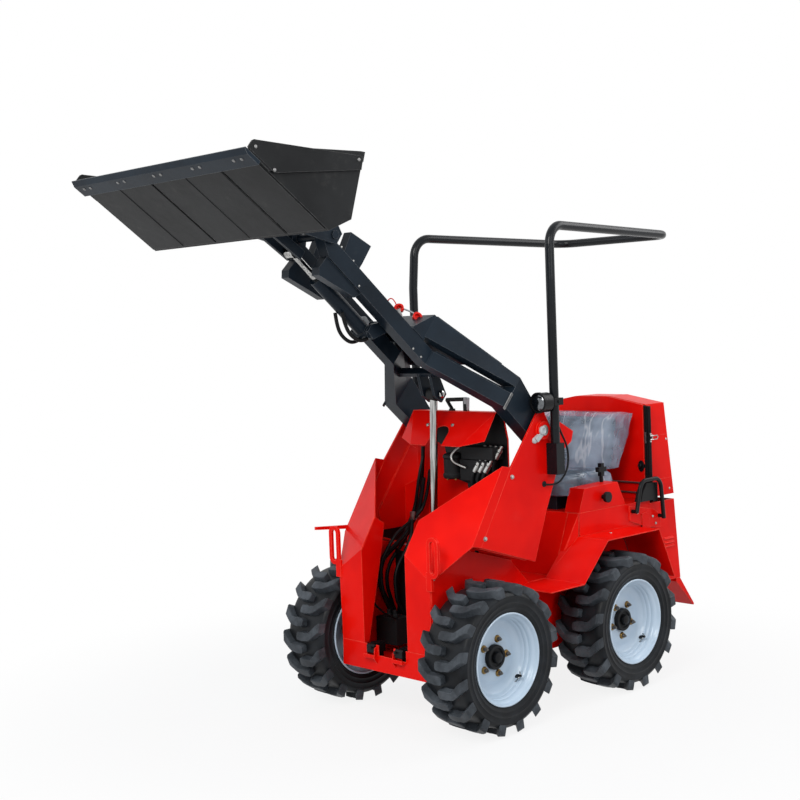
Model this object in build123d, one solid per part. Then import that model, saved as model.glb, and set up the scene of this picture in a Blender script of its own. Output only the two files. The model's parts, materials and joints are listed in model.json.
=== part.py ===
from build123d import *
import math
import os

# Small skid steer loader: four equal wheels, a ride-on seat, a forked lift arm and a bucket.
# Millimetres. X points forward, Y to the operator's left, Z up. The model is laid out from the
# ground under the middle of the wheelbase, and shifted along X at the end so that the origin is
# under the middle of the whole machine.

# ---------------------------------------------------------------- driving dimensions
WHEELBASE = 766
TRACK = 760  # between the middles of the left and right treads
TYRE_RADIUS = 276  # to the tips of the lugs
TYRE_WIDTH = 208
LUG_DEPTH = 15
LUGS_PER_SIDE = 16
LUG_DROP = 38  # how far a lug reaches down over the shoulder
TYRE_SIDES = 20  # flat faces round the carcass
RIM_SIDES = 28
RIM_RADIUS = 169  # outer edge of the rim flange
RIM_WIDTH = 190
DISC_INSET = 81  # from the outer flange face to the wheel disc
HUB_RADIUS = 41

SHEET = 5  # folded body panels
PLATE = 8  # load-carrying plates
FRAME_HALF_WIDTH = 250  # outer face of the chassis sides
FRAME_BOTTOM = 185
FRAME_FRONT = 541
FRAME_REAR = -740
FRAME_TOP = 600

SLOT_HALF_WIDTH = 119  # the gap between the front columns that the lift arm drops into
COLUMN_FRONT = 546
COLUMN_OUTER = 250
COLUMN_DEPTH = 86
COLUMN_FOOT = 285  # seam between columns and crossbar

TOWER_FACE = 350  # outer face of the tower plates
TOWER_PLATE = 8
SEAM_TOP, SEAM_LOW = (200, 945), (376, 668)  # (x, z) where the wing's flange meets the plate

DECK_TOP = 713  # the seat deck
DECK_FRONT = -255
DECK_HALF_WIDTH = 300
FLOOR_TOP = 471  # footwell floor and side steps
FLOOR_REAR = -153
FLOOR_FRONT = 101
FENDER_OUTER = 450
FENDER_TOP = 620

FIREWALL_FACE = -740
FIREWALL_TOP = 1154
FIREWALL_SHOULDER = 1120
FIREWALL_FLAT = 85  # half width of the level top edge
BODY_HALF_WIDTH = 276  # rear body and hood sides
HOOD_BOTTOM = 717
HOOD_REAR_TOP = -893
HOOD_REAR_BOTTOM = -952
BODY_BOTTOM = 340
BODY_REAR_BOTTOM = -985
SKIRT_TIP_X = -1085
SKIRT_TIP_Z = 200

# lift arm: s runs along the arm from its pivot, t square to it, upwards
PIVOT_X, PIVOT_Z = 15, 1072
ARM_ANGLE = 41.0  # above the horizontal, arm raised
ARM_TOP, ARM_UNDER = 18, -46  # t of the beam's two edges
REAR_ARM_OUTER, REAR_ARM_INNER = 330, 262
FRONT_ARM_OUTER, FRONT_ARM_INNER = 112, 62
SPLAY_START, SPLAY_END = 205, 466
REAR_ARM_TOP = 95
ARM_REACH = 1110  # s of the coupler pivot
COUPLER_T = 20  # t of the coupler pivot
ARM_DROP = 91.5  # degrees from raised to lowered
BUCKET_CURL = 60
BUCKET_DUMP = 77

# bucket, in its own frame: u forward along the floor from its rear edge, v up from the floor
BUCKET_FLOOR = 392
BUCKET_ANGLE = 36.6  # floor above the horizontal, arm raised
BUCKET_REAR_X, BUCKET_REAR_Z = 1170, 1793
BUCKET_HALF_WIDTH = 485
BUCKET_WALL = 6
EDGE_OVERHANG = 10
EDGE_THICKNESS = 14

LIFT_FOOT_X, LIFT_FOOT_Z = 288, 225
LIFT_EYE_S, LIFT_EYE_T = 271, -39
LIFT_BARREL_LENGTH = 452
LIFT_BARREL_RADIUS = 32
LIFT_ROD_RADIUS = 15
LIFT_PISTON_AT = 412  # from the foot, arm raised
TILT_FOOT_S, TILT_FOOT_T = 700, -80
TILT_EYE_S, TILT_EYE_T = 1140, -78
TILT_BARREL_LENGTH = 300
TILT_BARREL_RADIUS = 28
TILT_ROD_RADIUS = 13
TILT_PISTON_AT = 155
BARREL_WALL = 6
GLAND = 12  # length of the barrel's closed end round the rod
PISTON = 20
FOOT_EYE_RADIUS = 26
ROD_EYE_RADIUS = 22
EYE_HALF_WIDTH = 20
EAR_GAP = 26  # half the space between the ears that take a rod's eye
FOOT_GAP = 38  # and between those that take a barrel's foot
EAR = 12  # thickness of an ear
FOOT_PIN_RADIUS = 14

ROPS_TUBE_RADIUS = 18
ROPS_HALF_WIDTH = 377
ROPS_X = -32
ROPS_TOP = 1860
ROPS_REAR_X = -938
ROPS_REAR_HALF_WIDTH = 295
ROPS_KNEE_Z = 1650
SOCKET_BOTTOM, SOCKET_TOP = 900, 1020

DASH_FACE = 100  # front face of the panel between the towers
COVER_HALF_WIDTH = 226
COVER_TOP = 1147
COVER_SLOT = 48  # half the width of the slot that the lift rod swings through
COVER_SLOT_TOP = 1118

GAP = 0.3  # between pieces that seat on each other
RUNNING = 0.05  # radial clearance of pins

os.makedirs("parts", exist_ok=True)
nodes = {}


# ---------------------------------------------------------------- helpers
def block(x, y, z):
    """A box from its (low, high) pairs."""
    size = [high - low for low, high in (x, y, z)]
    middle = [(low + high) / 2 for low, high in (x, y, z)]
    return Pos(*middle) * Box(*size)


def side_plate(outline, y):
    """A plate with an outline of (x, z) points, between two y values."""
    low, high = min(y), max(y)
    face = Plane.XZ * make_face(Polyline(*outline, close=True))
    return Pos(0, low, 0) * extrude(face, -(high - low))


def front_plate(outline, x):
    """A plate with an outline of (y, z) points, between two x values."""
    low, high = min(x), max(x)
    face = Plane.YZ * make_face(Polyline(*outline, close=True))
    return Pos(low, 0, 0) * extrude(face, high - low)


def slab(corners, thickness):
    """A flat plate through 3-D corners that lie in one plane, thickened behind them."""
    face = make_face(Polyline(*corners, close=True))
    return extrude(face, thickness)


def ridge(near, far):
    """A flat-faced solid between two outlines that have the same number of corners."""
    count = len(near)
    sides = [(near[i], near[(i + 1) % count], far[(i + 1) % count], far[i]) for i in range(count)]
    faces = [make_face(Polyline(*corners, close=True)).face() for corners in (near, far, *sides)]
    return Solid(Shell(faces))


def ring(section, sides):
    """A flat-faced ring about the Y axis, from a closed section of (radius, y) points."""

    def corner(index, step):
        radius, y = section[index % len(section)]
        turn = 2 * math.pi * step / sides
        return (radius * math.cos(turn), y, radius * math.sin(turn))

    faces = []
    for i in range(len(section)):
        for k in range(sides):
            corners = (corner(i, k), corner(i, k + 1), corner(i + 1, k + 1), corner(i + 1, k))
            faces.append(make_face(Polyline(*corners, close=True)).face())
    return Solid(Shell(faces))


def rod(start, end, radius):
    """A round bar between two points."""
    axis = Vector(*end) - Vector(*start)
    return Plane(origin=start, z_dir=axis) * extrude(Circle(radius), axis.length)


def mirrored(shape):
    """The same shape on the machine's other side."""
    return mirror(shape, Plane.XZ)


def pair(shape):
    """Left and right copies, as solids that don't touch."""
    return [shape, mirrored(shape)]


def arm_point(s, t, angle=ARM_ANGLE):
    """World (x, z) of a point given along and across the lift arm."""
    a = math.radians(angle)
    return (
        PIVOT_X + s * math.cos(a) - t * math.sin(a),
        PIVOT_Z + s * math.sin(a) + t * math.cos(a),
    )


def bucket_point(u, v):
    """World (x, z) of a point given in the bucket's frame."""
    a = math.radians(BUCKET_ANGLE)
    return (
        BUCKET_REAR_X + u * math.cos(a) - v * math.sin(a),
        BUCKET_REAR_Z + u * math.sin(a) + v * math.cos(a),
    )


def arm_plate(outline, y):
    """A plate with an outline of (s, t) points on the lift arm, between two y values."""
    return side_plate([arm_point(s, t) for s, t in outline], y)


def cross_pin(x, z, radius, y):
    """A pin along Y between two y values."""
    return Pos(x, min(y), z) * Rot(-90, 0, 0) * extrude(Circle(radius), abs(y[1] - y[0]))


def fused(*shapes):
    """One solid from touching ones."""
    result = shapes[0]
    for shape in shapes[1:]:
        result = result + shape
    return result


# ---------------------------------------------------------------- wheels
WHEELS = {  # name: (which side in x, which side in y)
    "front_left": (1, 1),
    "front_right": (1, -1),
    "rear_left": (-1, 1),
    "rear_right": (-1, -1),
}


# outline of a lug on the tread: (y from the tyre's middle, distance back round the tread)
LUG = [(-14, -18), (58, -18), (104, 24), (104, 62), (48, 16), (-14, 16)]
LUG_MIDDLE = 22


def tyre():
    """A tyre about the Y axis, centred on its tread, with lugs that lean back to its shoulders."""
    half = TYRE_WIDTH / 2
    inner = RIM_RADIUS - 8.5
    tread = TYRE_RADIUS - LUG_DEPTH
    side = [
        (inner, half - 22),
        (RIM_RADIUS + 14, half - 8),
        (TYRE_RADIUS - 50, half - 2),
        (tread, half - 24),
    ]
    carcass = ring([(r, -y) for r, y in side] + [(r, y) for r, y in reversed(side)], TYRE_SIDES)
    reach = max(abs(back - LUG_MIDDLE) for _, back in LUG)
    face = math.sqrt(TYRE_RADIUS**2 - reach**2)
    lugs = []
    for k in range(LUGS_PER_SIDE):
        for half_pitch, hand in ((0, 1), (0.5, -1)):
            outline = [(LUG_MIDDLE - back, hand * y, face) for y, back in LUG]
            lug = extrude(make_face(Polyline(*outline, close=True)), LUG_DROP, dir=(0, 0, -1))
            lugs.append(Rot(0, -360 / LUGS_PER_SIDE * (k + half_pitch), 0) * lug)
    return carcass + lugs


def rim(side):
    """A dished rim about the Y axis with its hub, open towards the given side."""
    half = RIM_WIDTH / 2
    wall = 6
    bed = RIM_RADIUS - 14
    disc = half - DISC_INSET
    profile = [
        (RIM_RADIUS, half),
        (RIM_RADIUS - 4, half),
        (bed - wall, half - 12),
        (bed - wall, disc + 10),
        (bed - wall - 22, disc),
        (HUB_RADIUS - 8, disc),
        (HUB_RADIUS - 8, disc - wall),
        (bed - wall - 20, disc - wall),
        (bed - wall, disc - wall - 10),
        (bed - wall, -half + 12),
        (RIM_RADIUS - 4, -half),
        (RIM_RADIUS, -half),
        (bed + 2 * GAP, -half + 16),
        (bed + 2 * GAP, half - 16),
    ]
    body = ring(profile, RIM_SIDES)
    hub = Pos(0, disc - wall, 0) * Rot(-90, 0, 0) * extrude(Circle(HUB_RADIUS), 24 + wall)
    cap = Pos(0, disc + 24, 0) * Rot(-90, 0, 0) * extrude(Circle(30), 10)
    whole = fused(body, hub, cap)
    return whole if side > 0 else mirrored(whole)


lugged_tyre = tyre()
# turned until a corner of a lug is at the very bottom
lug_turn = 180 - math.degrees(math.asin(max(back - LUG_MIDDLE for _, back in LUG) / TYRE_RADIUS))
for name, (fore, side) in WHEELS.items():
    place = Pos(fore * WHEELBASE / 2, side * TRACK / 2, TYRE_RADIUS)
    nodes["tyre_" + name] = [place * Rot(0, lug_turn, 0) * lugged_tyre]
    nodes["rim_" + name] = [place * rim(side)]

# drive motors, one behind each wheel, bolted through the chassis sides
MOTOR_RADIUS = 62
disc_back = TRACK / 2 + RIM_WIDTH / 2 - DISC_INSET - 6
motors = []
for fore, side in WHEELS.values():
    x = fore * WHEELBASE / 2
    flange = cross_pin(x, TYRE_RADIUS, MOTOR_RADIUS, (FRAME_HALF_WIDTH + GAP, FRAME_HALF_WIDTH + 22))
    shaft = cross_pin(x, TYRE_RADIUS, 38, (FRAME_HALF_WIDTH + 22, disc_back - GAP))
    motor = fused(flange, shaft)
    motors.append(motor if side > 0 else mirrored(motor))
nodes["wheel_motors"] = motors

# ---------------------------------------------------------------- chassis
inside = FRAME_HALF_WIDTH - SHEET
frame_side = side_plate(
    [
        (FRAME_FRONT, FRAME_BOTTOM),
            (FRAME_FRONT, 545),
        (480, 640),
        (380, 655),
        (110, 575),
        (0, 465),
        (-110, 465),
        (-255, 612),
        (-590, 612),
        (-690, 400),
        (FRAME_REAR, 400),
        (FRAME_REAR, FRAME_BOTTOM),
    ],
    (inside, FRAME_HALF_WIDTH),
)
belly = block((FRAME_REAR, FRAME_FRONT), (-inside, inside), (FRAME_BOTTOM, FRAME_BOTTOM + PLATE))
FRAME_BACK_TOP = 400
frame_back = block((FRAME_REAR, FRAME_REAR + PLATE), (-inside, inside), (FRAME_BOTTOM, FRAME_BACK_TOP))
frame_web = block((120, 120 + PLATE), (-inside, inside), (FRAME_BOTTOM, 460))
lug_z = (FRAME_BOTTOM, LIFT_FOOT_Z + FOOT_EYE_RADIUS)
lug = block((LIFT_FOOT_X - 30, LIFT_FOOT_X + 30), (FOOT_GAP, FOOT_GAP + EAR), lug_z)
lug_pin = cross_pin(LIFT_FOOT_X, LIFT_FOOT_Z, FOOT_PIN_RADIUS, (-FOOT_GAP - EAR, FOOT_GAP + EAR))
nodes["main_frame"] = [
    fused(belly, frame_side, mirrored(frame_side), frame_back, frame_web, lug, mirrored(lug), lug_pin)
]

# front columns: a folded front plate and an inner cheek each side of the slot, with the
# sloped wing above that runs back to the tower plate
WING = {  # corner: (x, y, z), all in one plane
    "apex": (246, 350, 955),
    "low_outer": (424, 350, 678),
    "kink": (469, 121, 763),
}


def on_wing(x, y):
    """The wing's point at an x and a y."""
    a, b, c = (Vector(*WING[k]) for k in ("apex", "low_outer", "kink"))
    n = (b - a).cross(c - a)
    return (x, y, c.Z - (n.X * (x - c.X) + n.Y * (y - c.Y)) / n.Z)


wing_inner = on_wing(COLUMN_FRONT, SLOT_HALF_WIDTH)
wing_outer = on_wing(COLUMN_FRONT, COLUMN_OUTER)
wing = slab(
    [WING["apex"], WING["kink"], wing_inner, wing_outer, WING["low_outer"]],
    -SHEET,
)
wing_flange = side_plate(
    [WING["apex"][::2], WING["low_outer"][::2], (SEAM_LOW[0] + GAP, SEAM_LOW[1]), (SEAM_TOP[0] + GAP, SEAM_TOP[1])],
    (TOWER_FACE - SHEET, TOWER_FACE),
)
column_face = front_plate(
    [
        (SLOT_HALF_WIDTH, COLUMN_FOOT),
        (COLUMN_OUTER - 8, COLUMN_FOOT),
        (COLUMN_OUTER, wing_outer[2]),
        (SLOT_HALF_WIDTH, wing_inner[2]),
    ],
    (COLUMN_FRONT - SHEET, COLUMN_FRONT),
)
column_cheek = side_plate(
    [
        (COLUMN_FRONT, COLUMN_FOOT),
        (COLUMN_FRONT, wing_inner[2] - 2),
        (469, 758),
        (422, 729),
        (438, 640),
        (520, COLUMN_FOOT),
    ],
    (SLOT_HALF_WIDTH, SLOT_HALF_WIDTH + SHEET),
)
# tie-down loop that stands up from the outer edge of each column
LOOP_TOP, LOOP_BOTTOM, LOOP_WIDTH, LOOP_BAND = 722, 572, 56, 15
loop_y, loop_z = COLUMN_OUTER + LOOP_WIDTH / 2 - 8, (LOOP_TOP + LOOP_BOTTOM) / 2
loop_length = LOOP_TOP - LOOP_BOTTOM
loop_hole = SlotOverall(loop_length - 2 * LOOP_BAND, LOOP_WIDTH - 2 * LOOP_BAND, rotation=90)
loop = Pos(COLUMN_FRONT - SHEET, loop_y, loop_z) * (
    Plane.YZ * extrude(SlotOverall(loop_length, LOOP_WIDTH, rotation=90) - loop_hole, 12)
)
loop_foot = block(
    (COLUMN_FRONT - SHEET, COLUMN_FRONT + 7), (COLUMN_OUTER - 14, COLUMN_OUTER + 12), (COLUMN_FOOT + 240, LOOP_BOTTOM + 20)
)
column = fused(column_face, column_cheek, wing, wing_flange, loop, loop_foot)
# stowed lever, welded to the right wing's flange
side_lever = side_plate([(372, 682), (372, 698), (574, 714), (574, 702)], (-TOWER_FACE - 8, -TOWER_FACE))
nodes["front_columns"] = [column, fused(mirrored(column), side_lever)]

crossbar_outline = [
    (-COLUMN_OUTER + 4, FRAME_BOTTOM),
    (COLUMN_OUTER - 4, FRAME_BOTTOM),
    (COLUMN_OUTER - 8, COLUMN_FOOT - GAP),
    (108, COLUMN_FOOT - GAP),
    (108, 243),
    (55, 243),
    (55, COLUMN_FOOT - GAP),
    (42, COLUMN_FOOT - GAP),
    (42, 246),
    (-42, 246),
    (-42, COLUMN_FOOT - GAP),
    (-55, COLUMN_FOOT - GAP),
    (-55, 243),
    (-108, 243),
    (-108, COLUMN_FOOT - GAP),
    (-COLUMN_OUTER + 8, COLUMN_FOOT - GAP),
]
nodes["front_crossbar"] = [front_plate(crossbar_outline, (FRAME_FRONT + GAP, COLUMN_FRONT))]
pad = fused(
    block((490, 534), (62, 100), (250, 288)),
    block((494, 530), (70, 92), (FRAME_BOTTOM + PLATE + GAP, 250)),
)
nodes["rest_pads"] = pair(pad)

# ---------------------------------------------------------------- towers
tower_outline = [
    SEAM_TOP,
    SEAM_LOW,
    (119, 587),
    (78, 573),
    (2, 760),
    (-73, 918),
    (-62, 1040),
    (7, 1154),
    (40, 1140),
]
tower_plate = side_plate(tower_outline, (TOWER_FACE - TOWER_PLATE, TOWER_FACE))
boss = cross_pin(PIVOT_X, PIVOT_Z, 34, (TOWER_FACE, TOWER_FACE + 12))
tower_bore = cross_pin(PIVOT_X, PIVOT_Z, 20, (TOWER_FACE - 20, TOWER_FACE + 14))
doubler = side_plate(
    [(59, 995), (251, 740), (229, 635), (120, 600), (20, 760), (-11, 960)],
    (TOWER_FACE - 2 * TOWER_PLATE, TOWER_FACE - TOWER_PLATE),
)
rear_ear = side_plate(
    [(-30, 985), (-30, 1070), (-105, 1094), (-184, 1053), (-172, 1014), (-131, 990)],
    (TOWER_FACE - 2 * TOWER_PLATE, TOWER_FACE - TOWER_PLATE),
)
wheel_guard = side_plate(
    [SEAM_LOW, (119, 587), (119, 582), (SEAM_LOW[0] + 2, SEAM_LOW[1] - 5)],
    (FRAME_HALF_WIDTH + GAP, TOWER_FACE - TOWER_PLATE),
)
nodes["towers"] = pair(fused(tower_plate, boss, doubler, rear_ear, wheel_guard) - tower_bore)

# panel between the towers, in front of the operator's knees; it carries the cover and the valve
dash_wide = TOWER_FACE - 2 * TOWER_PLATE - GAP
dash_outline = [
    (inside - GAP, FLOOR_TOP + GAP),
    (inside - GAP, 600),
    (dash_wide, 620),
    (dash_wide, 830),
    (250, 862),
    (250, 1040),
    (COVER_HALF_WIDTH, COVER_TOP),
]
nodes["dash_panel"] = [
    front_plate(
        dash_outline + [(-y, z) for y, z in reversed(dash_outline)], (DASH_FACE - SHEET, DASH_FACE)
    )
]


def cover_form(inset):
    """The front cover's solid form, drawn in by an inset, in front of the dash panel."""
    side = [
        (DASH_FACE + GAP, COVER_TOP - inset),
        (138 - inset / 2, COVER_TOP - inset),
        (216 - inset, 1095 - inset),
        (261 - inset, 1020 - inset),
        (211 - inset, 1020 - inset),
        (DASH_FACE + GAP, 1060 - inset),
    ]
    half = COVER_HALF_WIDTH - inset
    plan = make_face(
        Polyline(
            (DASH_FACE, -half), (211, -half), (262, inset - 124), (262, 124 - inset), (211, half), (DASH_FACE, half), close=True
        )
    )
    return side_plate(side, (-half, half)) & Pos(0, 0, 900) * extrude(plan, 300)


slot = fused(
    block((150, 280), (-COVER_SLOT, COVER_SLOT), (1000, COVER_SLOT_TOP - COVER_SLOT)),
    rod((150, 0, COVER_SLOT_TOP - COVER_SLOT), (280, 0, COVER_SLOT_TOP - COVER_SLOT), COVER_SLOT),
)
nodes["front_cover"] = [cover_form(0) - cover_form(SHEET) - slot]

# control valve under the cover, with its row of spools
valve = block((DASH_FACE + GAP, 168), (56, 196), (880, 960))
spools = [rod((134, y, 880), (134, y, 852), 11) for y in range(76, 196, 24)]
nodes["valve_block"] = [fused(valve, *spools)]

# ---------------------------------------------------------------- seat deck, floor, fenders
floor_plate = block((FLOOR_REAR, FLOOR_FRONT), (-inside, inside), (FLOOR_TOP - 4, FLOOR_TOP))
nodes["floor_plate"] = [floor_plate]

fender_line = [
    (FLOOR_FRONT, FLOOR_TOP),
    (-95, FLOOR_TOP),
    (-251, FENDER_TOP),
    (-594, FENDER_TOP),
    (-693, 411),
]
fender_band = [(x, z) for x, z in fender_line] + [(x + 2, z - 4) for x, z in reversed(fender_line)]
fender = side_plate(fender_band, (FRAME_HALF_WIDTH + GAP, FENDER_OUTER))
nodes["rear_fenders"] = pair(fender)

deck_rear = FIREWALL_FACE + GAP
nodes["seat_deck"] = [
    fused(
        side_plate(
            [
                (FLOOR_REAR, FLOOR_TOP + GAP),
                (DECK_FRONT, DECK_TOP),
                (deck_rear, DECK_TOP),
                (deck_rear, DECK_TOP - SHEET),
                (DECK_FRONT - 3, DECK_TOP - SHEET),
                (FLOOR_REAR - 6, FLOOR_TOP + GAP),
            ],
            (GAP - inside, inside - GAP),
        ),
        block((deck_rear, DECK_FRONT - 4), (-DECK_HALF_WIDTH, DECK_HALF_WIDTH), (DECK_TOP - SHEET, DECK_TOP)),
        *[
            side_plate(
                [
                    (DECK_FRONT - 4, FENDER_TOP + GAP),
                    (DECK_FRONT - 4, DECK_TOP - 1),
                    (deck_rear, DECK_TOP - 1),
                    (deck_rear, 655),
                    (-594, FENDER_TOP + GAP),
                ],
                y,
            )
            for y in ((DECK_HALF_WIDTH - SHEET, DECK_HALF_WIDTH), (-DECK_HALF_WIDTH, SHEET - DECK_HALF_WIDTH))
        ],
        side_plate(
            [(-590, 640), (-590, 702), (-752, 674), (-790, 655), (-808, 630), (-808, 590), (-700, 604)],
            (DECK_HALF_WIDTH, DECK_HALF_WIDTH + SHEET),
        ),
    )
]
console = side_plate(
    [(-262, DECK_TOP + GAP), (-299, 808), (-519, 814), (-570, DECK_TOP + GAP)],
    (222, DECK_HALF_WIDTH - 2),
)
nodes["side_consoles"] = pair(console)

# ---------------------------------------------------------------- seat
BASE_TOP = 770
CUSHION_FRONT, CUSHION_REAR = 840, 850  # heights of the cushion's top at its two ends


def on_cushion(x):
    """Height just above the cushion's top at an x."""
    return CUSHION_FRONT + (x + 250) / (250 - 600) * (CUSHION_REAR - CUSHION_FRONT) + GAP


nodes["seat_base"] = [block((-560, -300), (-150, 150), (DECK_TOP + GAP, BASE_TOP))]
nodes["seat_cushion"] = [
    side_plate(
        [(-260, BASE_TOP + GAP), (-250, CUSHION_FRONT), (-600, CUSHION_REAR), (-610, BASE_TOP + GAP)],
        (-215, 215),
    )
]
nodes["seat_back"] = [
    side_plate(
        [(-565, on_cushion(-565)), (-640, 1085), (-700, 1085), (-650, on_cushion(-650))], (-210, 210)
    )
]

# ---------------------------------------------------------------- rear body
body_top = HOOD_BOTTOM - 24
firewall_outline = [
    (-BODY_HALF_WIDTH, body_top + GAP),
    (BODY_HALF_WIDTH, body_top + GAP),
    (BODY_HALF_WIDTH, FIREWALL_SHOULDER),
    (FIREWALL_FLAT, FIREWALL_TOP),
    (-FIREWALL_FLAT, FIREWALL_TOP),
    (-BODY_HALF_WIDTH, FIREWALL_SHOULDER),
]
nodes["firewall"] = [front_plate(firewall_outline, (FIREWALL_FACE - SHEET, FIREWALL_FACE))]
hood_front = FIREWALL_FACE - 20
seal = block(
    (hood_front + GAP, FIREWALL_FACE - SHEET - GAP),
    (BODY_HALF_WIDTH - 14, BODY_HALF_WIDTH + 4),
    (HOOD_BOTTOM + 4, FIREWALL_SHOULDER - 4),
)
nodes["hood_seal"] = pair(seal)
# draw latches on the seal posts, their loops lying over the hood's sides
latch_base, LATCH_Z = BODY_HALF_WIDTH + 4 + GAP, 978
latch = fused(
    block((-758, -742), (latch_base, latch_base + 7), (LATCH_Z - 24, LATCH_Z + 24)),
    block((-790, -757), (latch_base + 1, latch_base + 5), (LATCH_Z - 11, LATCH_Z - 6)),
    block((-790, -757), (latch_base + 1, latch_base + 5), (LATCH_Z + 6, LATCH_Z + 11)),
    block((-796, -789), (latch_base + 1, latch_base + 5), (LATCH_Z - 11, LATCH_Z + 11)),
)
nodes["hood_latches"] = pair(latch)

hood_section = [
    (-BODY_HALF_WIDTH, HOOD_BOTTOM),
    (BODY_HALF_WIDTH, HOOD_BOTTOM),
    (BODY_HALF_WIDTH, FIREWALL_SHOULDER),
    (FIREWALL_FLAT, FIREWALL_TOP),
    (-FIREWALL_FLAT, FIREWALL_TOP),
    (-BODY_HALF_WIDTH, FIREWALL_SHOULDER),
]
hood_solid = front_plate(hood_section, (HOOD_REAR_BOTTOM - 10, hood_front))
behind_hood = side_plate(
    [
        (HOOD_REAR_TOP, FIREWALL_TOP + 20),
        (HOOD_REAR_TOP, 1134),
        (HOOD_REAR_BOTTOM, HOOD_BOTTOM),
        (HOOD_REAR_BOTTOM - 20, HOOD_BOTTOM - 20),
        (HOOD_REAR_BOTTOM - 20, FIREWALL_TOP + 20),
    ],
    (-BODY_HALF_WIDTH - 10, BODY_HALF_WIDTH + 10),
)
hood_void = side_plate(
    [
        (hood_front + 20, HOOD_BOTTOM - 10),
        (hood_front + 20, FIREWALL_SHOULDER - 12),
        (HOOD_REAR_TOP + 6, FIREWALL_SHOULDER - 12),
        (HOOD_REAR_BOTTOM + 6, HOOD_BOTTOM - 10),
    ],
    (SHEET - BODY_HALF_WIDTH, BODY_HALF_WIDTH - SHEET),
)
HINGE_X, HINGE_Z = -948, 705
HINGE_RADIUS = 7
knuckle = cross_pin(HINGE_X, HINGE_Z, HINGE_RADIUS, (150, 190))
hood_tab = fused(knuckle, block((HINGE_X - 3, HINGE_X + 3), (150, 190), (HINGE_Z, HOOD_BOTTOM + 2)))
nodes["hood"] = [fused(hood_solid - behind_hood - hood_void, hood_tab, mirrored(hood_tab))]

rear_outline = [
    (FRAME_REAR - GAP, BODY_BOTTOM),
    (FRAME_REAR - GAP, body_top),
    (HOOD_REAR_BOTTOM, body_top),
    (BODY_REAR_BOTTOM, BODY_BOTTOM),
]
rear_inner = [
    (FRAME_REAR + 20, BODY_BOTTOM + SHEET),
    (FRAME_REAR + 20, HOOD_BOTTOM),
    (HOOD_REAR_BOTTOM + SHEET, HOOD_BOTTOM),
    (BODY_REAR_BOTTOM + SHEET, BODY_BOTTOM + SHEET),
]
body_tab = fused(
    cross_pin(HINGE_X, HINGE_Z, HINGE_RADIUS, (100, 150 - GAP)),
    block((HINGE_X - 3, HINGE_X + 3), (100, 150 - GAP), (body_top - 4, HINGE_Z)),
)
louvres = [
    block((-934, -870), (-BODY_HALF_WIDTH - 1, BODY_HALF_WIDTH + 1), (z - 4, z + 4)) for z in (525, 508, 491)
]
grille = [block((-1000, -930), (-150, 150), (z - 6, z + 6)) for z in range(430, 640, 34)]
nodes["rear_body"] = [
    fused(
        side_plate(rear_outline, (-BODY_HALF_WIDTH, BODY_HALF_WIDTH))
        - side_plate(rear_inner, (SHEET - BODY_HALF_WIDTH, BODY_HALF_WIDTH - SHEET)),
        body_tab,
        mirrored(body_tab),
    )
    - louvres
    - grille
]
nodes["rear_skirt"] = [
    side_plate(
        [
            (BODY_REAR_BOTTOM + 30, BODY_BOTTOM - GAP),
            (BODY_REAR_BOTTOM + 4, BODY_BOTTOM - GAP),
            (SKIRT_TIP_X, SKIRT_TIP_Z + 6),
            (SKIRT_TIP_X + 4, SKIRT_TIP_Z),
            (BODY_REAR_BOTTOM + 30, BODY_BOTTOM - 16),
        ],
        (-BODY_HALF_WIDTH, BODY_HALF_WIDTH),
    )
]
nodes["engine_block"] = [block((-900, -620), (-190, 190), (FRAME_BACK_TOP + GAP, 680))]

# ---------------------------------------------------------------- roll-over frame
rops_path = FilletPolyline(
    (ROPS_X, ROPS_HALF_WIDTH, SOCKET_BOTTOM + 30),
    (ROPS_X, ROPS_HALF_WIDTH, ROPS_KNEE_Z),
    (ROPS_X - 10, ROPS_HALF_WIDTH - 8, ROPS_TOP),
    (ROPS_REAR_X, ROPS_REAR_HALF_WIDTH, ROPS_TOP - 12),
    (ROPS_REAR_X, -ROPS_REAR_HALF_WIDTH, ROPS_TOP - 12),
    (ROPS_X - 10, 8 - ROPS_HALF_WIDTH, ROPS_TOP),
    (ROPS_X, -ROPS_HALF_WIDTH, ROPS_KNEE_Z),
    (ROPS_X, -ROPS_HALF_WIDTH, SOCKET_BOTTOM + 30),
    radius=80,
)
socket_y = ROPS_HALF_WIDTH
sleeve = block(
    (ROPS_X - 24, ROPS_X + 24), (TOWER_FACE + GAP, socket_y + 24), (SOCKET_BOTTOM, SOCKET_TOP)
)
tube = sweep(
    Plane(origin=rops_path @ 0, z_dir=rops_path % 0) * Circle(ROPS_TUBE_RADIUS), path=rops_path
)
nodes["rops"] = [fused(tube, sleeve, mirrored(sleeve))]
lamp_z = 1180
lamp = fused(
    block((ROPS_X - 26, ROPS_X + 26), (socket_y - 24, socket_y + 24), (lamp_z - 14, lamp_z + 14))
    - rod((ROPS_X, socket_y, lamp_z - 30), (ROPS_X, socket_y, lamp_z + 30), ROPS_TUBE_RADIUS + GAP),
    rod((ROPS_X + 20, socket_y, lamp_z), (ROPS_X + 46, socket_y, lamp_z), 10),
    Pos(ROPS_X + 70, socket_y, lamp_z) * Rot(0, 90, 0) * Cylinder(38, 50),
)
nodes["work_lamps"] = pair(lamp)

# ---------------------------------------------------------------- lift arm
rear_arm = arm_plate(
    [
        (-50, ARM_UNDER),
        (-58, 0),
        (-40, 44),
        (SPLAY_START, REAR_ARM_TOP),
        (SPLAY_START, ARM_UNDER),
    ],
    (REAR_ARM_INNER, REAR_ARM_OUTER),
)


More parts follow.
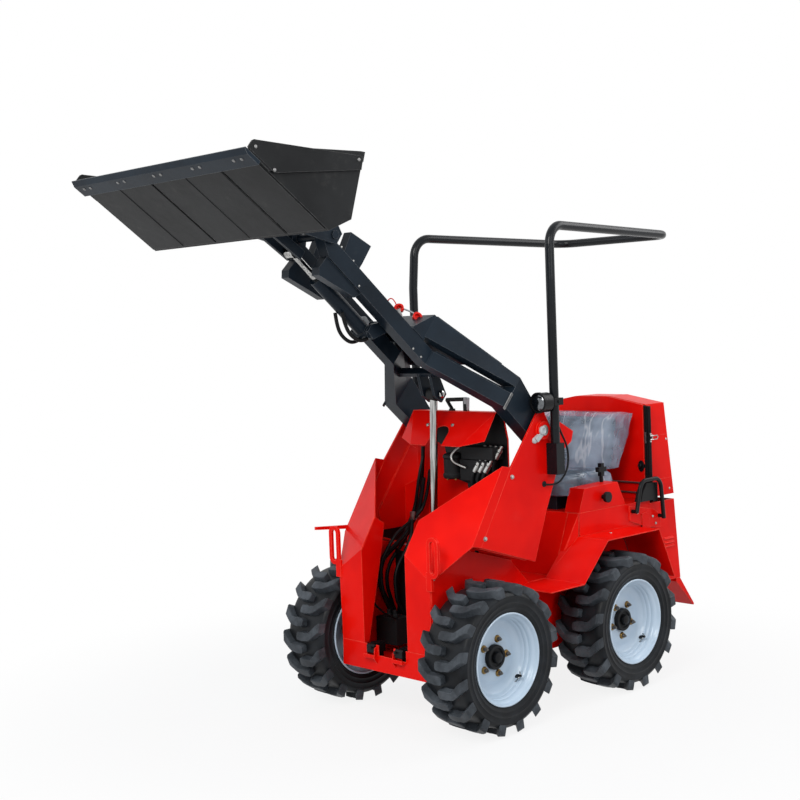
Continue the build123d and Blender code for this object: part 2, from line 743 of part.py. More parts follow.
def splay(t_rear, t_front, s_rear, s_front):
    """A beam that swings in from the rear arm to the front arm, with its t edges at each end."""
    ends = []
    for s, (low, high), inner, outer in (
        (s_rear, t_rear, REAR_ARM_INNER, REAR_ARM_OUTER),
        (s_front, t_front, FRONT_ARM_INNER, FRONT_ARM_OUTER),
    ):
        corners = [(inner, low), (outer, low), (outer, high), (inner, high)]
        ends.append([(arm_point(s, t)[0], y, arm_point(s, t)[1]) for y, t in corners])
    return ridge(*ends)


UPPER_LOW, UPPER_HIGH = (52, REAR_ARM_TOP), (35, 134)  # t edges of the upper beam at its two ends
UPPER_END = 533
lower_splay = splay((ARM_UNDER, ARM_TOP), (ARM_UNDER, ARM_TOP), SPLAY_START, SPLAY_END)
upper_splay = splay(UPPER_LOW, UPPER_HIGH, SPLAY_START, UPPER_END)


def web(s_rear, s_front, t_rear, t_front):
    """The inner web between the two beams, standing on the lower one's inner edge."""
    ends = []
    for s, (low, high), inner in ((s_rear, t_rear, REAR_ARM_INNER), (s_front, t_front, FRONT_ARM_INNER)):
        corners = [(inner, low), (inner + SHEET, low), (inner + SHEET, high), (inner, high)]
        ends.append([(arm_point(s, t)[0], y, arm_point(s, t)[1]) for y, t in corners])
    return ridge(*ends)


inner_web = web(SPLAY_START, SPLAY_END, (ARM_TOP - 6, 50), (ARM_TOP - 6, 38))
front_arm = arm_plate(
    [
        (SPLAY_END, ARM_UNDER),
        (SPLAY_END, ARM_TOP),
        (ARM_REACH - 40, ARM_TOP),
        (ARM_REACH - 22, COUPLER_T + 26),
        (ARM_REACH + 20, COUPLER_T + 26),
        (ARM_REACH + 34, COUPLER_T),
        (ARM_REACH + 20, COUPLER_T - 30),
        (ARM_REACH - 40, ARM_UNDER),
    ],
    (FRONT_ARM_INNER, FRONT_ARM_OUTER),
)
head = arm_plate(
    [(870, ARM_UNDER + 4), (885, -75), (1060, -122), (1076, -100), (1072, ARM_UNDER + 4)],
    (FRONT_ARM_INNER + 3, FRONT_ARM_OUTER - 8),
)
head_top = arm_plate(
    [(932, ARM_TOP - 4), (932, 45), (939, 123), (1042, 98), (1028, 40), (1022, ARM_TOP - 4)],
    (FRONT_ARM_INNER + 3, FRONT_ARM_OUTER - 8),
)
pivot_x, pivot_z = arm_point(0, 0)
lift_x, lift_z = arm_point(LIFT_EYE_S, LIFT_EYE_T)
coupler_x, coupler_z = arm_point(ARM_REACH, COUPLER_T)
tilt_foot = arm_point(TILT_FOOT_S, TILT_FOOT_T)
arm_side = fused(rear_arm, lower_splay, upper_splay, inner_web, front_arm, head, head_top) - cross_pin(
    pivot_x, pivot_z, 20, (REAR_ARM_INNER - 10, REAR_ARM_OUTER + 10)
)
cross_member = arm_plate([(345, -12), (345, ARM_TOP), (365, ARM_TOP), (365, -12)], (-175, 175))
bulkhead = arm_plate(
    [(527, ARM_TOP - 4), (527, 134), (541, 134), (602, 26), (602, ARM_TOP - 4)], (-FRONT_ARM_OUTER, FRONT_ARM_OUTER)
) - arm_plate([(533, 0), (533, 150), (534, 136), (596, 24), (596, 0)], (SHEET - FRONT_ARM_OUTER, FRONT_ARM_OUTER - SHEET))
web_s = TILT_FOOT_S - 60
front_web = arm_plate(
    [(web_s, -30), (web_s, ARM_TOP), (web_s + PLATE, ARM_TOP), (web_s + PLATE, -30)],
    (-FRONT_ARM_INNER, FRONT_ARM_INNER),
)
lift_ear = arm_plate(
    [
        (LIFT_EYE_S - 26, LIFT_EYE_T - 20),
        (LIFT_EYE_S - 26, LIFT_EYE_T + 20),
        (330, ARM_TOP),
        (365, ARM_TOP),
        (365, -12),
        (LIFT_EYE_S + 20, LIFT_EYE_T - 24),
    ],
    (EAR_GAP, EAR_GAP + EAR),
)
tilt_lug = arm_plate(
    [
        (web_s + 2, -30),
        (web_s + 2, 0),
        (TILT_FOOT_S - 30, 0),
        (TILT_FOOT_S + 24, TILT_FOOT_T + 18),
        (TILT_FOOT_S + 24, TILT_FOOT_T - 18),
        (TILT_FOOT_S - 16, TILT_FOOT_T - 22),
    ],
    (FOOT_GAP, FOOT_GAP + EAR),
)
tilt_pin = cross_pin(*tilt_foot, FOOT_PIN_RADIUS, (-FOOT_GAP - EAR, FOOT_GAP + EAR))
EAR_OUTER = FRONT_ARM_OUTER + 20
COUPLER_PIN_RADIUS = 15
coupler_pin = cross_pin(coupler_x, coupler_z, COUPLER_PIN_RADIUS - RUNNING, (-EAR_OUTER - 6, EAR_OUTER + 6))
nodes["boom_arms"] = [
    fused(
        arm_side,
        mirrored(arm_side),
        cross_member,
        bulkhead,
        front_web,
        lift_ear,
        mirrored(lift_ear),
        tilt_lug,
        mirrored(tilt_lug),
        tilt_pin,
        coupler_pin,
    )
]

# pins of the lift arm, carried by the towers
nodes["arm_pins"] = pair(
    cross_pin(PIVOT_X, PIVOT_Z, 20 - RUNNING, (REAR_ARM_INNER - 4, TOWER_FACE + 16))
)


def along_upper(s):
    """Inner |y|, outer |y| and top t of the upper beam at an s."""
    k = (s - SPLAY_START) / (UPPER_END - SPLAY_START)
    return (
        REAR_ARM_INNER + k * (FRONT_ARM_INNER - REAR_ARM_INNER),
        REAR_ARM_OUTER + k * (FRONT_ARM_OUTER - REAR_ARM_OUTER),
        UPPER_LOW[1] + k * (UPPER_HIGH[1] - UPPER_LOW[1]),
    )


# sheet over the fork, lying on the upper beams
cover_sections = []
for s in (275, UPPER_END - 8):
    _, outer, top = along_upper(s)
    points = [
        (arm_point(s, t)[0], y, arm_point(s, t)[1])
        for y, t in (
            (4 - outer, top + GAP),
            (outer - 4, top + GAP),
            (outer - 4, top + GAP + SHEET),
            (4 - outer, top + GAP + SHEET),
        )
    ]
    cover_sections.append(points)
nodes["boom_cover"] = [ridge(*cover_sections)]

# lock bar stowed in the left beam, for propping the raised arm
prop_sections = []
for s in (240, 450):
    k = (s - SPLAY_START) / (SPLAY_END - SPLAY_START)
    middle = (REAR_ARM_INNER + REAR_ARM_OUTER) / 2 * (1 - k) + (FRONT_ARM_INNER + FRONT_ARM_OUTER) / 2 * k
    points = [
        (arm_point(s, t)[0], y, arm_point(s, t)[1])
        for y, t in (
            (middle - 12, ARM_TOP + GAP),
            (middle + 12, ARM_TOP + GAP),
            (middle + 12, ARM_TOP + GAP + 12),
            (middle - 12, ARM_TOP + GAP + 12),
        )
    ]
    prop_sections.append(points)
nodes["safety_prop"] = [ridge(*prop_sections)]

# hydraulic quick couplers on the bulkhead's sloping face, square to it
COUPLER_RADIUS, COUPLER_LENGTH, coupler_t = 14, 52, 76
slope = Vector(602 - 541, 26 - 134).normalized()
out_s, out_t = -slope.Y, slope.X
foot_s = 541 + (134 - coupler_t) / (134 - 26) * (602 - 541)
base, tip = [
    arm_point(foot_s + out_s * distance, coupler_t + out_t * distance) for distance in (GAP, COUPLER_LENGTH)
]
nodes["aux_couplers"] = [
    rod((base[0], y, base[1]), (tip[0], y, tip[1]), COUPLER_RADIUS) for y in (-58, -12)
]

# ---------------------------------------------------------------- bucket
BUCKET_PROFILE = [(BUCKET_FLOOR, 0), (0, 0), (-54, 88), (24, 301)]
outer_side = [bucket_point(u, v) for u, v in [(BUCKET_FLOOR, 0), (0, 0), (-54, 88), (24, 301), (345, 50)]]
shell_outline = [bucket_point(u, v) for u, v in BUCKET_PROFILE] + [
    bucket_point(u, v)
    for u, v in (
        (24 + BUCKET_WALL, 301 - 2),
        (-54 + BUCKET_WALL + 1, 88),
        (4, BUCKET_WALL),
        (BUCKET_FLOOR, BUCKET_WALL),
    )
]
shell = side_plate(shell_outline, (-BUCKET_HALF_WIDTH, BUCKET_HALF_WIDTH))
cheek = side_plate(outer_side, (BUCKET_HALF_WIDTH - BUCKET_WALL, BUCKET_HALF_WIDTH))
# side cutters: a strip along each cheek's open edge, outside it
cutter_outline = [
    bucket_point(u, v) for u, v in ((BUCKET_FLOOR, 0), (352, 46), (340, 56), (40, 291), (24, 301), (12, 269), (290, 0))
]
cutter = side_plate(cutter_outline, (BUCKET_HALF_WIDTH, BUCKET_HALF_WIDTH + 6))
# skid plates under the floor, from side to side, as shares of the half width
SKID = 4
SKIDS = [(-0.99, -0.6), (-0.594, -0.2), (-0.18, 0.2), (0.206, 0.6), (0.62, 0.99)]
skids = [
    side_plate(
        [bucket_point(u, v) for u, v in ((12, 0), (12, -SKID), (330, -SKID), (330, 0))],
        (low * BUCKET_HALF_WIDTH, high * BUCKET_HALF_WIDTH),
    )
    for low, high in SKIDS
]
nodes["bucket_shell"] = [fused(shell, cheek, mirrored(cheek), cutter, mirrored(cutter), *skids)]
edge = side_plate(
    [
        bucket_point(u, v)
        for u, v in (
            (BUCKET_FLOOR - 60, -GAP),
            (BUCKET_FLOOR + 8, -GAP),
            (BUCKET_FLOOR + 10, -4),
            (BUCKET_FLOOR - 10, -EDGE_THICKNESS),
            (BUCKET_FLOOR - 60, -EDGE_THICKNESS),
        )
    ],
    (-BUCKET_HALF_WIDTH - EDGE_OVERHANG, BUCKET_HALF_WIDTH + EDGE_OVERHANG),
)
nodes["cutting_edge"] = [edge]

# coupler: a face plate on the bucket's back and two ears that reach back to the arm
def bucket_uv(x, z):
    """Bucket-frame (u, v) of a world point."""
    a = math.radians(BUCKET_ANGLE)
    dx, dz = x - BUCKET_REAR_X, z - BUCKET_REAR_Z
    return dx * math.cos(a) + dz * math.sin(a), -dx * math.sin(a) + dz * math.cos(a)


pu, pv = bucket_uv(coupler_x, coupler_z)
tilt_x, tilt_z = arm_point(TILT_EYE_S, TILT_EYE_T)
eu, ev = bucket_uv(tilt_x, tilt_z)
face_plate = side_plate(
    [bucket_point(u, v) for u, v in ((-54 - GAP, 88), (20 - GAP, 290), (8, 294), (-66, 92))],
    (-230, 230),
)
ear = side_plate(
    [
        bucket_point(u, v)
        for u, v in ((pu - 26, pv - 20), (pu - 26, pv + 24), (pu, pv + 36), (6, 286), (-60, 100), (pu, pv - 34))
    ],
    (EAR_OUTER - EAR, EAR_OUTER),
)
ear = ear - cross_pin(coupler_x, coupler_z, COUPLER_PIN_RADIUS, (FRONT_ARM_OUTER, EAR_OUTER + 10))
tilt_ear = side_plate(
    [
        bucket_point(u, v)
        for u, v in ((eu - 22, ev - 18), (eu - 22, ev + 18), (-44, 130), (-62, 94))
    ],
    (EAR_GAP, EAR_GAP + EAR),
)
nodes["coupler"] = [fused(face_plate, ear, mirrored(ear), tilt_ear, mirrored(tilt_ear))]

# ---------------------------------------------------------------- cylinders
def along(foot, eye, distance):
    """The point at a distance from a cylinder's foot towards its eye, both in world (x, z)."""
    start, end = Vector(foot[0], 0, foot[1]), Vector(eye[0], 0, eye[1])
    return tuple(start + (end - start).normalized() * distance)


def barrel(foot, eye, length, radius, rod_radius):
    """A cylinder barrel with its foot eye, bored for the piston and closed round the rod."""
    at = lambda distance: along(foot, eye, distance)
    body = fused(
        rod(at(FOOT_EYE_RADIUS - 6), at(length), radius),
        cross_pin(*foot, FOOT_EYE_RADIUS, (GAP - FOOT_GAP, FOOT_GAP - GAP)),
    )
    bore = rod(at(FOOT_EYE_RADIUS + 1), at(length - GLAND), radius - BARREL_WALL)
    gland = rod(at(length - GLAND - 1), at(length + 1), rod_radius + GAP)
    return body - bore - gland - cross_pin(*foot, FOOT_PIN_RADIUS + RUNNING, (-FOOT_GAP, FOOT_GAP))


def piston_rod(foot, eye, piston_at, radius, barrel_radius):
    """A rod with its eye, and its piston in the barrel's bore."""
    at = lambda distance: along(foot, eye, distance)
    return fused(
        rod(at(piston_at), (eye[0], 0, eye[1]), radius),
        rod(at(piston_at), at(piston_at + PISTON), barrel_radius - BARREL_WALL - GAP),
        cross_pin(*eye, ROD_EYE_RADIUS, (-EYE_HALF_WIDTH, EYE_HALF_WIDTH)),
    )


CYLINDERS = {  # name: (foot, eye, barrel length, barrel radius, rod radius, piston at)
    "lift": (
        (LIFT_FOOT_X, LIFT_FOOT_Z),
        (lift_x, lift_z),
        LIFT_BARREL_LENGTH,
        LIFT_BARREL_RADIUS,
        LIFT_ROD_RADIUS,
        LIFT_PISTON_AT,
    ),
    "tilt": (
        tilt_foot,
        (tilt_x, tilt_z),
        TILT_BARREL_LENGTH,
        TILT_BARREL_RADIUS,
        TILT_ROD_RADIUS,
        TILT_PISTON_AT,
    ),
}
for name, (foot, eye, length, barrel_radius, rod_radius, piston_at) in CYLINDERS.items():
    nodes[name + "_barrel"] = [barrel(foot, eye, length, barrel_radius, rod_radius)]
    nodes[name + "_rod"] = [piston_rod(foot, eye, piston_at, rod_radius, barrel_radius)]

# ---------------------------------------------------------------- hand controls
knob = fused(
    rod((-417, DECK_HALF_WIDTH - 1.7, 763), (-417, DECK_HALF_WIDTH + 16, 763), 9),
    rod((-417, DECK_HALF_WIDTH + 16, 763), (-417, DECK_HALF_WIDTH + 30, 763), 22),
)
ARCH_Y, ARCH_RADIUS = BODY_HALF_WIDTH + 54, 9
arch_path = FilletPolyline(
    (-604, ARCH_Y, 676), (-640, ARCH_Y, 806), (-778, ARCH_Y, 806), (-796, ARCH_Y, 630), radius=44
)
arch = fused(
    sweep(Plane(origin=arch_path @ 0, z_dir=arch_path % 0) * Circle(ARCH_RADIUS), path=arch_path),
    cross_pin(-605, 680, ARCH_RADIUS - 1, (DECK_HALF_WIDTH + SHEET + GAP, ARCH_Y)),
    cross_pin(-795, 640, ARCH_RADIUS - 1, (DECK_HALF_WIDTH + SHEET + GAP, ARCH_Y)),
)
control_box = side_plate(
    [(-655, DECK_TOP + GAP), (-671, 754), (-700, 790), (-776, 786), (-776, 706), (-742, 706), (-742, DECK_TOP + GAP)],
    (BODY_HALF_WIDTH + 6, BODY_HALF_WIDTH + 40),
)
star_knob = fused(
    rod((-486, 240, 808), (-486, 240, 850), 8),
    block((-496, -476), (231, 249), (838, 892)),
    block((-512, -460), (231, 249), (856, 876)),
)
console_top = 808 + (486 - 299) / (519 - 299) * (814 - 808) + GAP
star_knob = star_knob - block((-600, -300), (200, 300), (700, console_top))
grip = fused(
    block((112, 128), (-34, -14), (COVER_TOP + GAP, COVER_TOP + 8)),
    rod((120, -24, COVER_TOP + 7), (120, -52, COVER_TOP + 43), 7),
    rod((120, -52, COVER_TOP + 43), (120, 56, COVER_TOP + 47), 8),
    block((112, 128), (44, 62), (COVER_TOP + GAP, COVER_TOP + 53)),
)
nodes["hand_controls"] = [knob, arch, control_box, star_knob, grip]

# ---------------------------------------------------------------- hoses
HOSE_RADIUS = 8
HOSES = [  # y at the valve, y at the frame web, how far it swings forward, z at the web
    (76, 60, 60, 430),
    (124, 84, 90, 400),
    (172, 108, 40, 440),
]
hoses = []
for valve_y, web_y, swing, web_z in HOSES:
    hose_path = FilletPolyline(
        (134, valve_y, 852 - GAP),
        (134, valve_y, 790),
        (134 + swing, (valve_y + web_y) / 2, 640),
        (134 + swing, web_y, web_z),
        (120 + PLATE + GAP, web_y, web_z),
        radius=38,
    )
    section = Plane(origin=hose_path @ 0, z_dir=hose_path % 0) * RegularPolygon(HOSE_RADIUS, 8)
    hoses.append(sweep(section, path=hose_path))
nodes["hoses"] = hoses

# ---------------------------------------------------------------- export
boxes = [solid.bounding_box() for solids in nodes.values() for solid in solids]
low = min(box.min.X for box in boxes)
high = max(box.max.X for box in boxes)
origin_shift = Pos(-(low + high) / 2, 0, 0)
for name, solids in nodes.items():
    placed = [origin_shift * solid for solid in solids]
    export_step(placed[0] if len(placed) == 1 else Compound(placed), f"parts/{name}.step")
print("reach in x", round(low, 1), round(high, 1))
print("origin moved by", round(-(low + high) / 2, 2))
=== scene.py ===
# %% [markdown]
# # A small skid steer loader
# The machine stands on four equal wheels. A forked lift arm carries a bucket over the front, the driver sits
# between two tower plates under a bent tube frame, and the engine is under a folded hood at the back.
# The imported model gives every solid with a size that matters. This script gives those solids their paint,
# rubber and steel, and adds what a workshop would fit last: tread, bolts, hoses, seams, film on the new seat.

import json
import math

import bmesh
import bpy
from mathutils import Matrix, Vector, noise


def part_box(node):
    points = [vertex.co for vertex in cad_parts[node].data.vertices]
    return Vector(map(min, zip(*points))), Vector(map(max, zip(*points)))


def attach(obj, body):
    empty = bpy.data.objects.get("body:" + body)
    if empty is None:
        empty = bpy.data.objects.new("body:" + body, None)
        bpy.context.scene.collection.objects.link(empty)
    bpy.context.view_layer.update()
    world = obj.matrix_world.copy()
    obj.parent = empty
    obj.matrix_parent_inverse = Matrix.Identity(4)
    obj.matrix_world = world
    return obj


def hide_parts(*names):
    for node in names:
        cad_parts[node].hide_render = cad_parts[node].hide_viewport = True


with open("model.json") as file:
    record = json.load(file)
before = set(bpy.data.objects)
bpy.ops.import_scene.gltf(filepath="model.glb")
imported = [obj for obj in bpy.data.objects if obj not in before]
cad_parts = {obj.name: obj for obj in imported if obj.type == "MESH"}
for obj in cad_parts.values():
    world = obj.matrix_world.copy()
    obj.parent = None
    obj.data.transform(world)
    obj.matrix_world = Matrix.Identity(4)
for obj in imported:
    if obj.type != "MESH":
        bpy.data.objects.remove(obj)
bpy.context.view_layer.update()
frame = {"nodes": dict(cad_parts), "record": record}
nodes = frame["nodes"]
print("nodes in the frame:", len(nodes))

# %% [markdown]
# The loader was laid out in millimetres from the ground under the middle of its wheelbase, but the frame's
# origin is under the middle of the whole machine. One helper turns layout millimetres into frame metres, so
# that every place below can be read off a drawing of the machine. The shift between the two is measured on
# the front wheels, which are half a wheelbase ahead of the layout's origin.

# %% From layout millimetres to frame metres
HALF_WHEELBASE = 383
MM = 0.001
low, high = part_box("tyre_front_left")
SHIFT = (low.x + high.x) / 2 - HALF_WHEELBASE * MM


def place(x, y, z):
    """A layout point in millimetres as a frame point in metres."""
    return Vector((x * MM + SHIFT, y * MM, z * MM))


def layout_box(node):
    """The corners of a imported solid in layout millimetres."""
    return [Vector(((v.x - SHIFT) / MM, v.y / MM, v.z / MM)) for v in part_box(node)]


print("layout moved along x by", round(SHIFT, 5))

# %% [markdown]
# Shader arithmetic reads best as ordinary expressions. A Field wraps the output of a node, and adding or
# multiplying Fields adds the Math nodes behind the scenes, also when a plain number stands first. A Tree is
# any set of nodes: its node() method makes a node, sets it up, and then fills or links its sockets.

# %% Shader arithmetic and one way to make nodes
class Field:
    """A number that changes over a surface."""

    def __init__(self, tree, socket):
        self.tree, self.socket = tree, socket

    def math(self, operation, first, second):
        made = self.tree.node("Math", {"operation": operation}, {0: first, 1: second})
        return Field(self.tree, made.outputs[0])

    def __add__(self, other):
        return self.math("ADD", self, other)

    def __mul__(self, other):
        return self.math("MULTIPLY", self, other)

    def __sub__(self, other):
        return self.math("SUBTRACT", self, other)

    def __rsub__(self, other):
        return self.math("SUBTRACT", other, self)

    __radd__, __rmul__ = __add__, __mul__

    def above(self, other):
        return self.math("MAXIMUM", self, other)


class Tree:
    """The nodes of a material or of the world."""

    def __init__(self, owner, output):
        owner.use_nodes = True
        self.nodes, self.links = owner.node_tree.nodes, owner.node_tree.links
        self.nodes.clear()
        self.output = self.node("Output" + output)

    def node(self, kind, settings=None, inputs=None):
        made = self.nodes.new("ShaderNode" + kind)
        for key, value in (settings or {}).items():
            setattr(made, key, value)
        for key, value in (inputs or {}).items():
            value = value.socket if isinstance(value, Field) else value
            if isinstance(value, bpy.types.NodeSocket):
                self.links.new(value, made.inputs[key])
            else:
                made.inputs[key].default_value = value
        return made

    def step(self, value, low, high, start=0.0, end=1.0):
        """Runs smoothly from start to end while the value goes from low to high."""
        inputs = {0: value, 1: low, 2: high, 3: start, 4: end}
        return Field(self, self.node("MapRange", {"interpolation_type": "SMOOTHSTEP"}, inputs).outputs[0])

    def mix(self, factor, first, second):
        """A colour between two colours."""
        return self.node("Mix", {"data_type": "RGBA"}, {0: factor, 6: first, 7: second}).outputs[2]

    def show(self, shader):
        self.links.new(shader.outputs[0], self.output.inputs["Surface"])

    def seen_directly(self):
        """1 for the camera, for gloss and through clear film, 0 for the light that falls on the machine."""
        path = self.node("LightPath")
        camera, gloss, film = (
            Field(self, path.outputs[name]) for name in ("Is Camera Ray", "Is Glossy Ray", "Is Transmission Ray")
        )
        return camera.above(gloss).above(film)


class Finish(Tree):
    """One material, which changes over a piece with its object coordinates."""

    def __init__(self, name):
        self.material = bpy.data.materials.new(name)
        super().__init__(self.material, "Material")
        self.position = self.node("TexCoord").outputs["Object"]

    def stretched(self, scale):
        """Object coordinates, stretched along each axis."""
        return self.node("VectorMath", {"operation": "MULTIPLY"}, {0: self.position, 1: scale}).outputs[0]

    def noise(self, scale, detail=4.0, roughness=0.55, along=None):
        inputs = {"Vector": along or self.position, "Scale": scale, "Detail": detail, "Roughness": roughness}
        return Field(self, self.node("TexNoise", {}, inputs).outputs["Fac"])

    def edges(self, radius):
        """1 along the edges of a sheet, where a rounded normal turns away from the flat one."""
        flat = self.node("NewGeometry").outputs["Normal"]
        rounded = self.node("Bevel", {"samples": 6}, {"Radius": radius}).outputs[0]
        along = self.node("VectorMath", {"operation": "DOT_PRODUCT"}, {0: flat, 1: rounded}).outputs["Value"]
        return self.step(1 - Field(self, along), 0.01, 0.14)

    def bump(self, height, depth, rounding=0.0):
        """A normal raised by a height field, on edges rounded by a radius in metres."""
        inputs = {"Height": height, "Distance": depth, "Strength": 1.0}
        if rounding:
            inputs["Normal"] = self.node("Bevel", {"samples": 4}, {"Radius": rounding}).outputs[0]
        return self.node("Bump", {}, inputs).outputs[0]

    def principled(self, **sockets):
        """A Principled shader; socket names use _ for spaces."""
        return self.node("BsdfPrincipled", {}, {name.replace("_", " "): value for name, value in sockets.items()})

    def surface(self, **sockets):
        """Finishes the material with one Principled shader."""
        self.show(self.principled(**sockets))
        return self.material


print("shader helpers:", [item.__name__ for item in (Field, Tree, Finish)])

# %% [markdown]
# The red panels are gloss enamel sprayed on folded sheet. Enamel is never perfectly flat: it has a fine orange
# peel, and the coat is a little duller where dust has settled. So one noise drives a tiny bump, another breaks
# up the gloss, and a third shifts the red slightly. A clear coat on top gives the sharp highlights, and a Bevel
# node rounds the sheet's edges for the light, as paint does on a folded corner. Where that rounded normal turns
# away from the flat one there is an edge, and a lighter colour is mixed in there: a painted highlight along the
# folds, broken up in patches like scuffed paint. The arm and bucket have the same enamel in black; the arm's
# black is bluer, a painted reflection of the sky. The tubes and wheels have no such edges.

# %% Enamel paint
def enamel(name, colour, deeper, roughness, dust, specular, coat, edge_highlight_and_wear=None):
    """The edge colour is a painted highlight along the sheet's folded edges, patchy like scuffed paint; a tube has
    none.
    """
    finish = Finish(name)
    cloud = finish.noise(3.5, 3.0)
    mottle = finish.noise(38.0, 5.0)
    tone = finish.mix(finish.step(cloud, 0.3, 0.7), colour, deeper)
    dusty = finish.step(finish.noise(11.0, 8.0, 0.7), 0.55, 0.8) * dust
    tone = finish.mix(dusty, tone, (0.45, 0.42, 0.38, 1))
    if edge_highlight_and_wear:
        # Painted highlight along the folded edges, in patches like scuffed paint.
        highlit_and_scuffed = finish.edges(0.003) * finish.step(mottle, 0.36, 0.6, 0.45, 0.95)
        tone = finish.mix(highlit_and_scuffed, tone, edge_highlight_and_wear)
    peel = finish.noise(420.0, 2.0) + finish.noise(90.0, 2.0) * 0.8
    return finish.surface(
        Base_Color=tone,
        Roughness=mottle * 0.12 + (roughness - 0.06),
        Specular_IOR_Level=specular,
        Coat_Weight=coat,
        Coat_Roughness=0.06,
        Normal=finish.bump(peel, 0.00012, 0.0016 if edge_highlight_and_wear else 0.0),
    )


red_enamel = enamel(
    "red_enamel", (0.76, 0.005, 0.0015, 1), (0.62, 0.002, 0.001, 1), 0.34,
    dust=0.02, specular=0.06, coat=0.05, edge_highlight_and_wear=(0.95, 0.11, 0.07, 1),
)
# The blue in this black is a painted reflection of the sky on the arm.
black_enamel = enamel(
    "black_enamel", (0.012, 0.0205, 0.031, 1), (0.0065, 0.0105, 0.016, 1), 0.34,
    dust=0.02, specular=0.1, coat=0.02, edge_highlight_and_wear=(0.13, 0.14, 0.15, 1),
)
bucket_enamel = enamel(
    "bucket_enamel", (0.0165, 0.0175, 0.0185, 1), (0.008, 0.0085, 0.0092, 1), 0.4,
    dust=0.05, specular=0.1, coat=0.01, edge_highlight_and_wear=(0.12, 0.12, 0.12, 1),
)
tube_enamel = enamel(
    "tube_enamel", (0.0065, 0.0085, 0.011, 1), (0.004, 0.005, 0.0065, 1), 0.26,
    dust=0.01, specular=0.16, coat=0.06,
)
wheel_enamel = enamel(
    "wheel_enamel", (0.5, 0.6, 0.7, 1), (0.42, 0.52, 0.62, 1), 0.3,
    dust=0.05, specular=0.3, coat=0.2,
)
print("enamels:", [paint.name for paint in (red_enamel, black_enamel, bucket_enamel, tube_enamel, wheel_enamel)])

# %% [markdown]
# Tyre rubber is charcoal, and lighter, bluish patches on the raised lugs are a painted reflection of the sky. The
# rubber is dull, and the sides of the lugs keep fine mould marks, so two noises at different scales feed roughness
# and bump. The carcass below them is darker and smoother.

# %% Rubber
def rubber(name, colour, bloom_and_sky_sheen, roughness, grain, rounding=0.0):
    finish = Finish(name)
    cloud = finish.step(finish.noise(9.0, 6.0, 0.65), 0.35, 0.75)
    height = finish.noise(160.0, 4.0) + finish.noise(24.0, 3.0)
    return finish.surface(
        # Patches of a lighter, bluer colour; on the lugs they are a painted reflection of the sky.
        Base_Color=finish.mix(cloud, colour, bloom_and_sky_sheen),
        Roughness=finish.noise(30.0) * 0.2 + (roughness - 0.1),
        Specular_IOR_Level=0.14,
        Normal=finish.bump(height, grain, rounding),
    )


# The lugs' lighter, bluish colours are a painted reflection of the sky.
lug_rubber = rubber("lug_rubber", (0.024, 0.028, 0.033, 1), (0.075, 0.086, 0.099, 1), 0.5, 0.0004, 0.0014)
side_rubber = rubber("side_rubber", (0.006, 0.0068, 0.008, 1), (0.014, 0.0165, 0.02, 1), 0.42, 0.0002)
soft_rubber = rubber("soft_rubber", (0.0035, 0.0037, 0.0042, 1), (0.008, 0.0085, 0.0095, 1), 0.4, 0.0001)
print("rubbers:", lug_rubber.name, side_rubber.name, soft_rubber.name)

# %% [markdown]
# The cylinder rods are hard chrome, with long dark streaks down them that are a painted reflection. Fasteners are
# zinc plated, some with the yellow passivation that turns brass coloured. Cast housings are rough, nearly black,
# with a coarse skin from the sand mould, and knobs and boots are moulded plastic with a finer one.

# %% Metals and plastics
def metal(name, colour, roughness, grain, stretch=(1, 1, 1), shade=0.8):
    """Shade is how much darker the streaks are than the colour; on hard chrome the streaks are a painted
    reflection.
    """
    finish = Finish(name)
    streaks = finish.noise(60.0, 5.0, 0.6, finish.stretched(stretch))
    tone = finish.mix(finish.step(streaks, 0.42, 0.58), colour, [shade * c for c in colour[:3]] + [1])
    return finish.surface(
        Base_Color=tone,
        Metallic=1.0,
        Roughness=streaks * 0.16 + (roughness - 0.08),
        Normal=finish.bump(streaks, grain, 0.0006),
    )


def moulded(name, colour, roughness, grain):
    finish = Finish(name)
    pits = finish.noise(300.0, 3.0)
    tone = finish.mix(finish.step(finish.noise(6.0), 0.3, 0.7), colour, [0.8 * c for c in colour[:3]] + [1])
    return finish.surface(
        Base_Color=tone,
        Roughness=pits * 0.15 + (roughness - 0.07),
        Specular_IOR_Level=0.16,
        Normal=finish.bump(pits, grain, 0.001),
    )


# Long dark streaks down the rods: a painted reflection in the chrome.
hard_chrome = metal("hard_chrome", (0.5, 0.5, 0.49, 1), 0.14, 0.00004, (3, 3, 0.03), 0.45)
zinc = metal("zinc_plate", (0.4, 0.4, 0.39, 1), 0.34, 0.00005)
yellow_zinc = metal("yellow_zinc", (0.4, 0.24, 0.08, 1), 0.34, 0.00005)
bare_steel = metal("bare_steel", (0.24, 0.24, 0.24, 1), 0.4, 0.0001)
dark_steel = metal("dark_steel", (0.16, 0.15, 0.14, 1), 0.38, 0.00008)
raw_iron = moulded("cast_iron_skin", (0.011, 0.0115, 0.0125, 1), 0.55, 0.0008)
cast_alloy = moulded("cast_alloy", (0.5, 0.52, 0.53, 1), 0.42, 0.0003)
black_plastic = moulded("black_plastic", (0.005, 0.0052, 0.006, 1), 0.36, 0.0001)
red_plastic = moulded("red_plastic", (0.85, 0.02, 0.012, 1), 0.32, 0.00008)
print("metals and plastics:", hard_chrome.name, zinc.name, yellow_zinc.name, raw_iron.name, black_plastic.name)

# %% [markdown]
# Seat vinyl has a leather grain: cells a few millimetres wide with creases between them. A Voronoi texture
# gives the cells, and its distance to their edges makes the height of the bump.

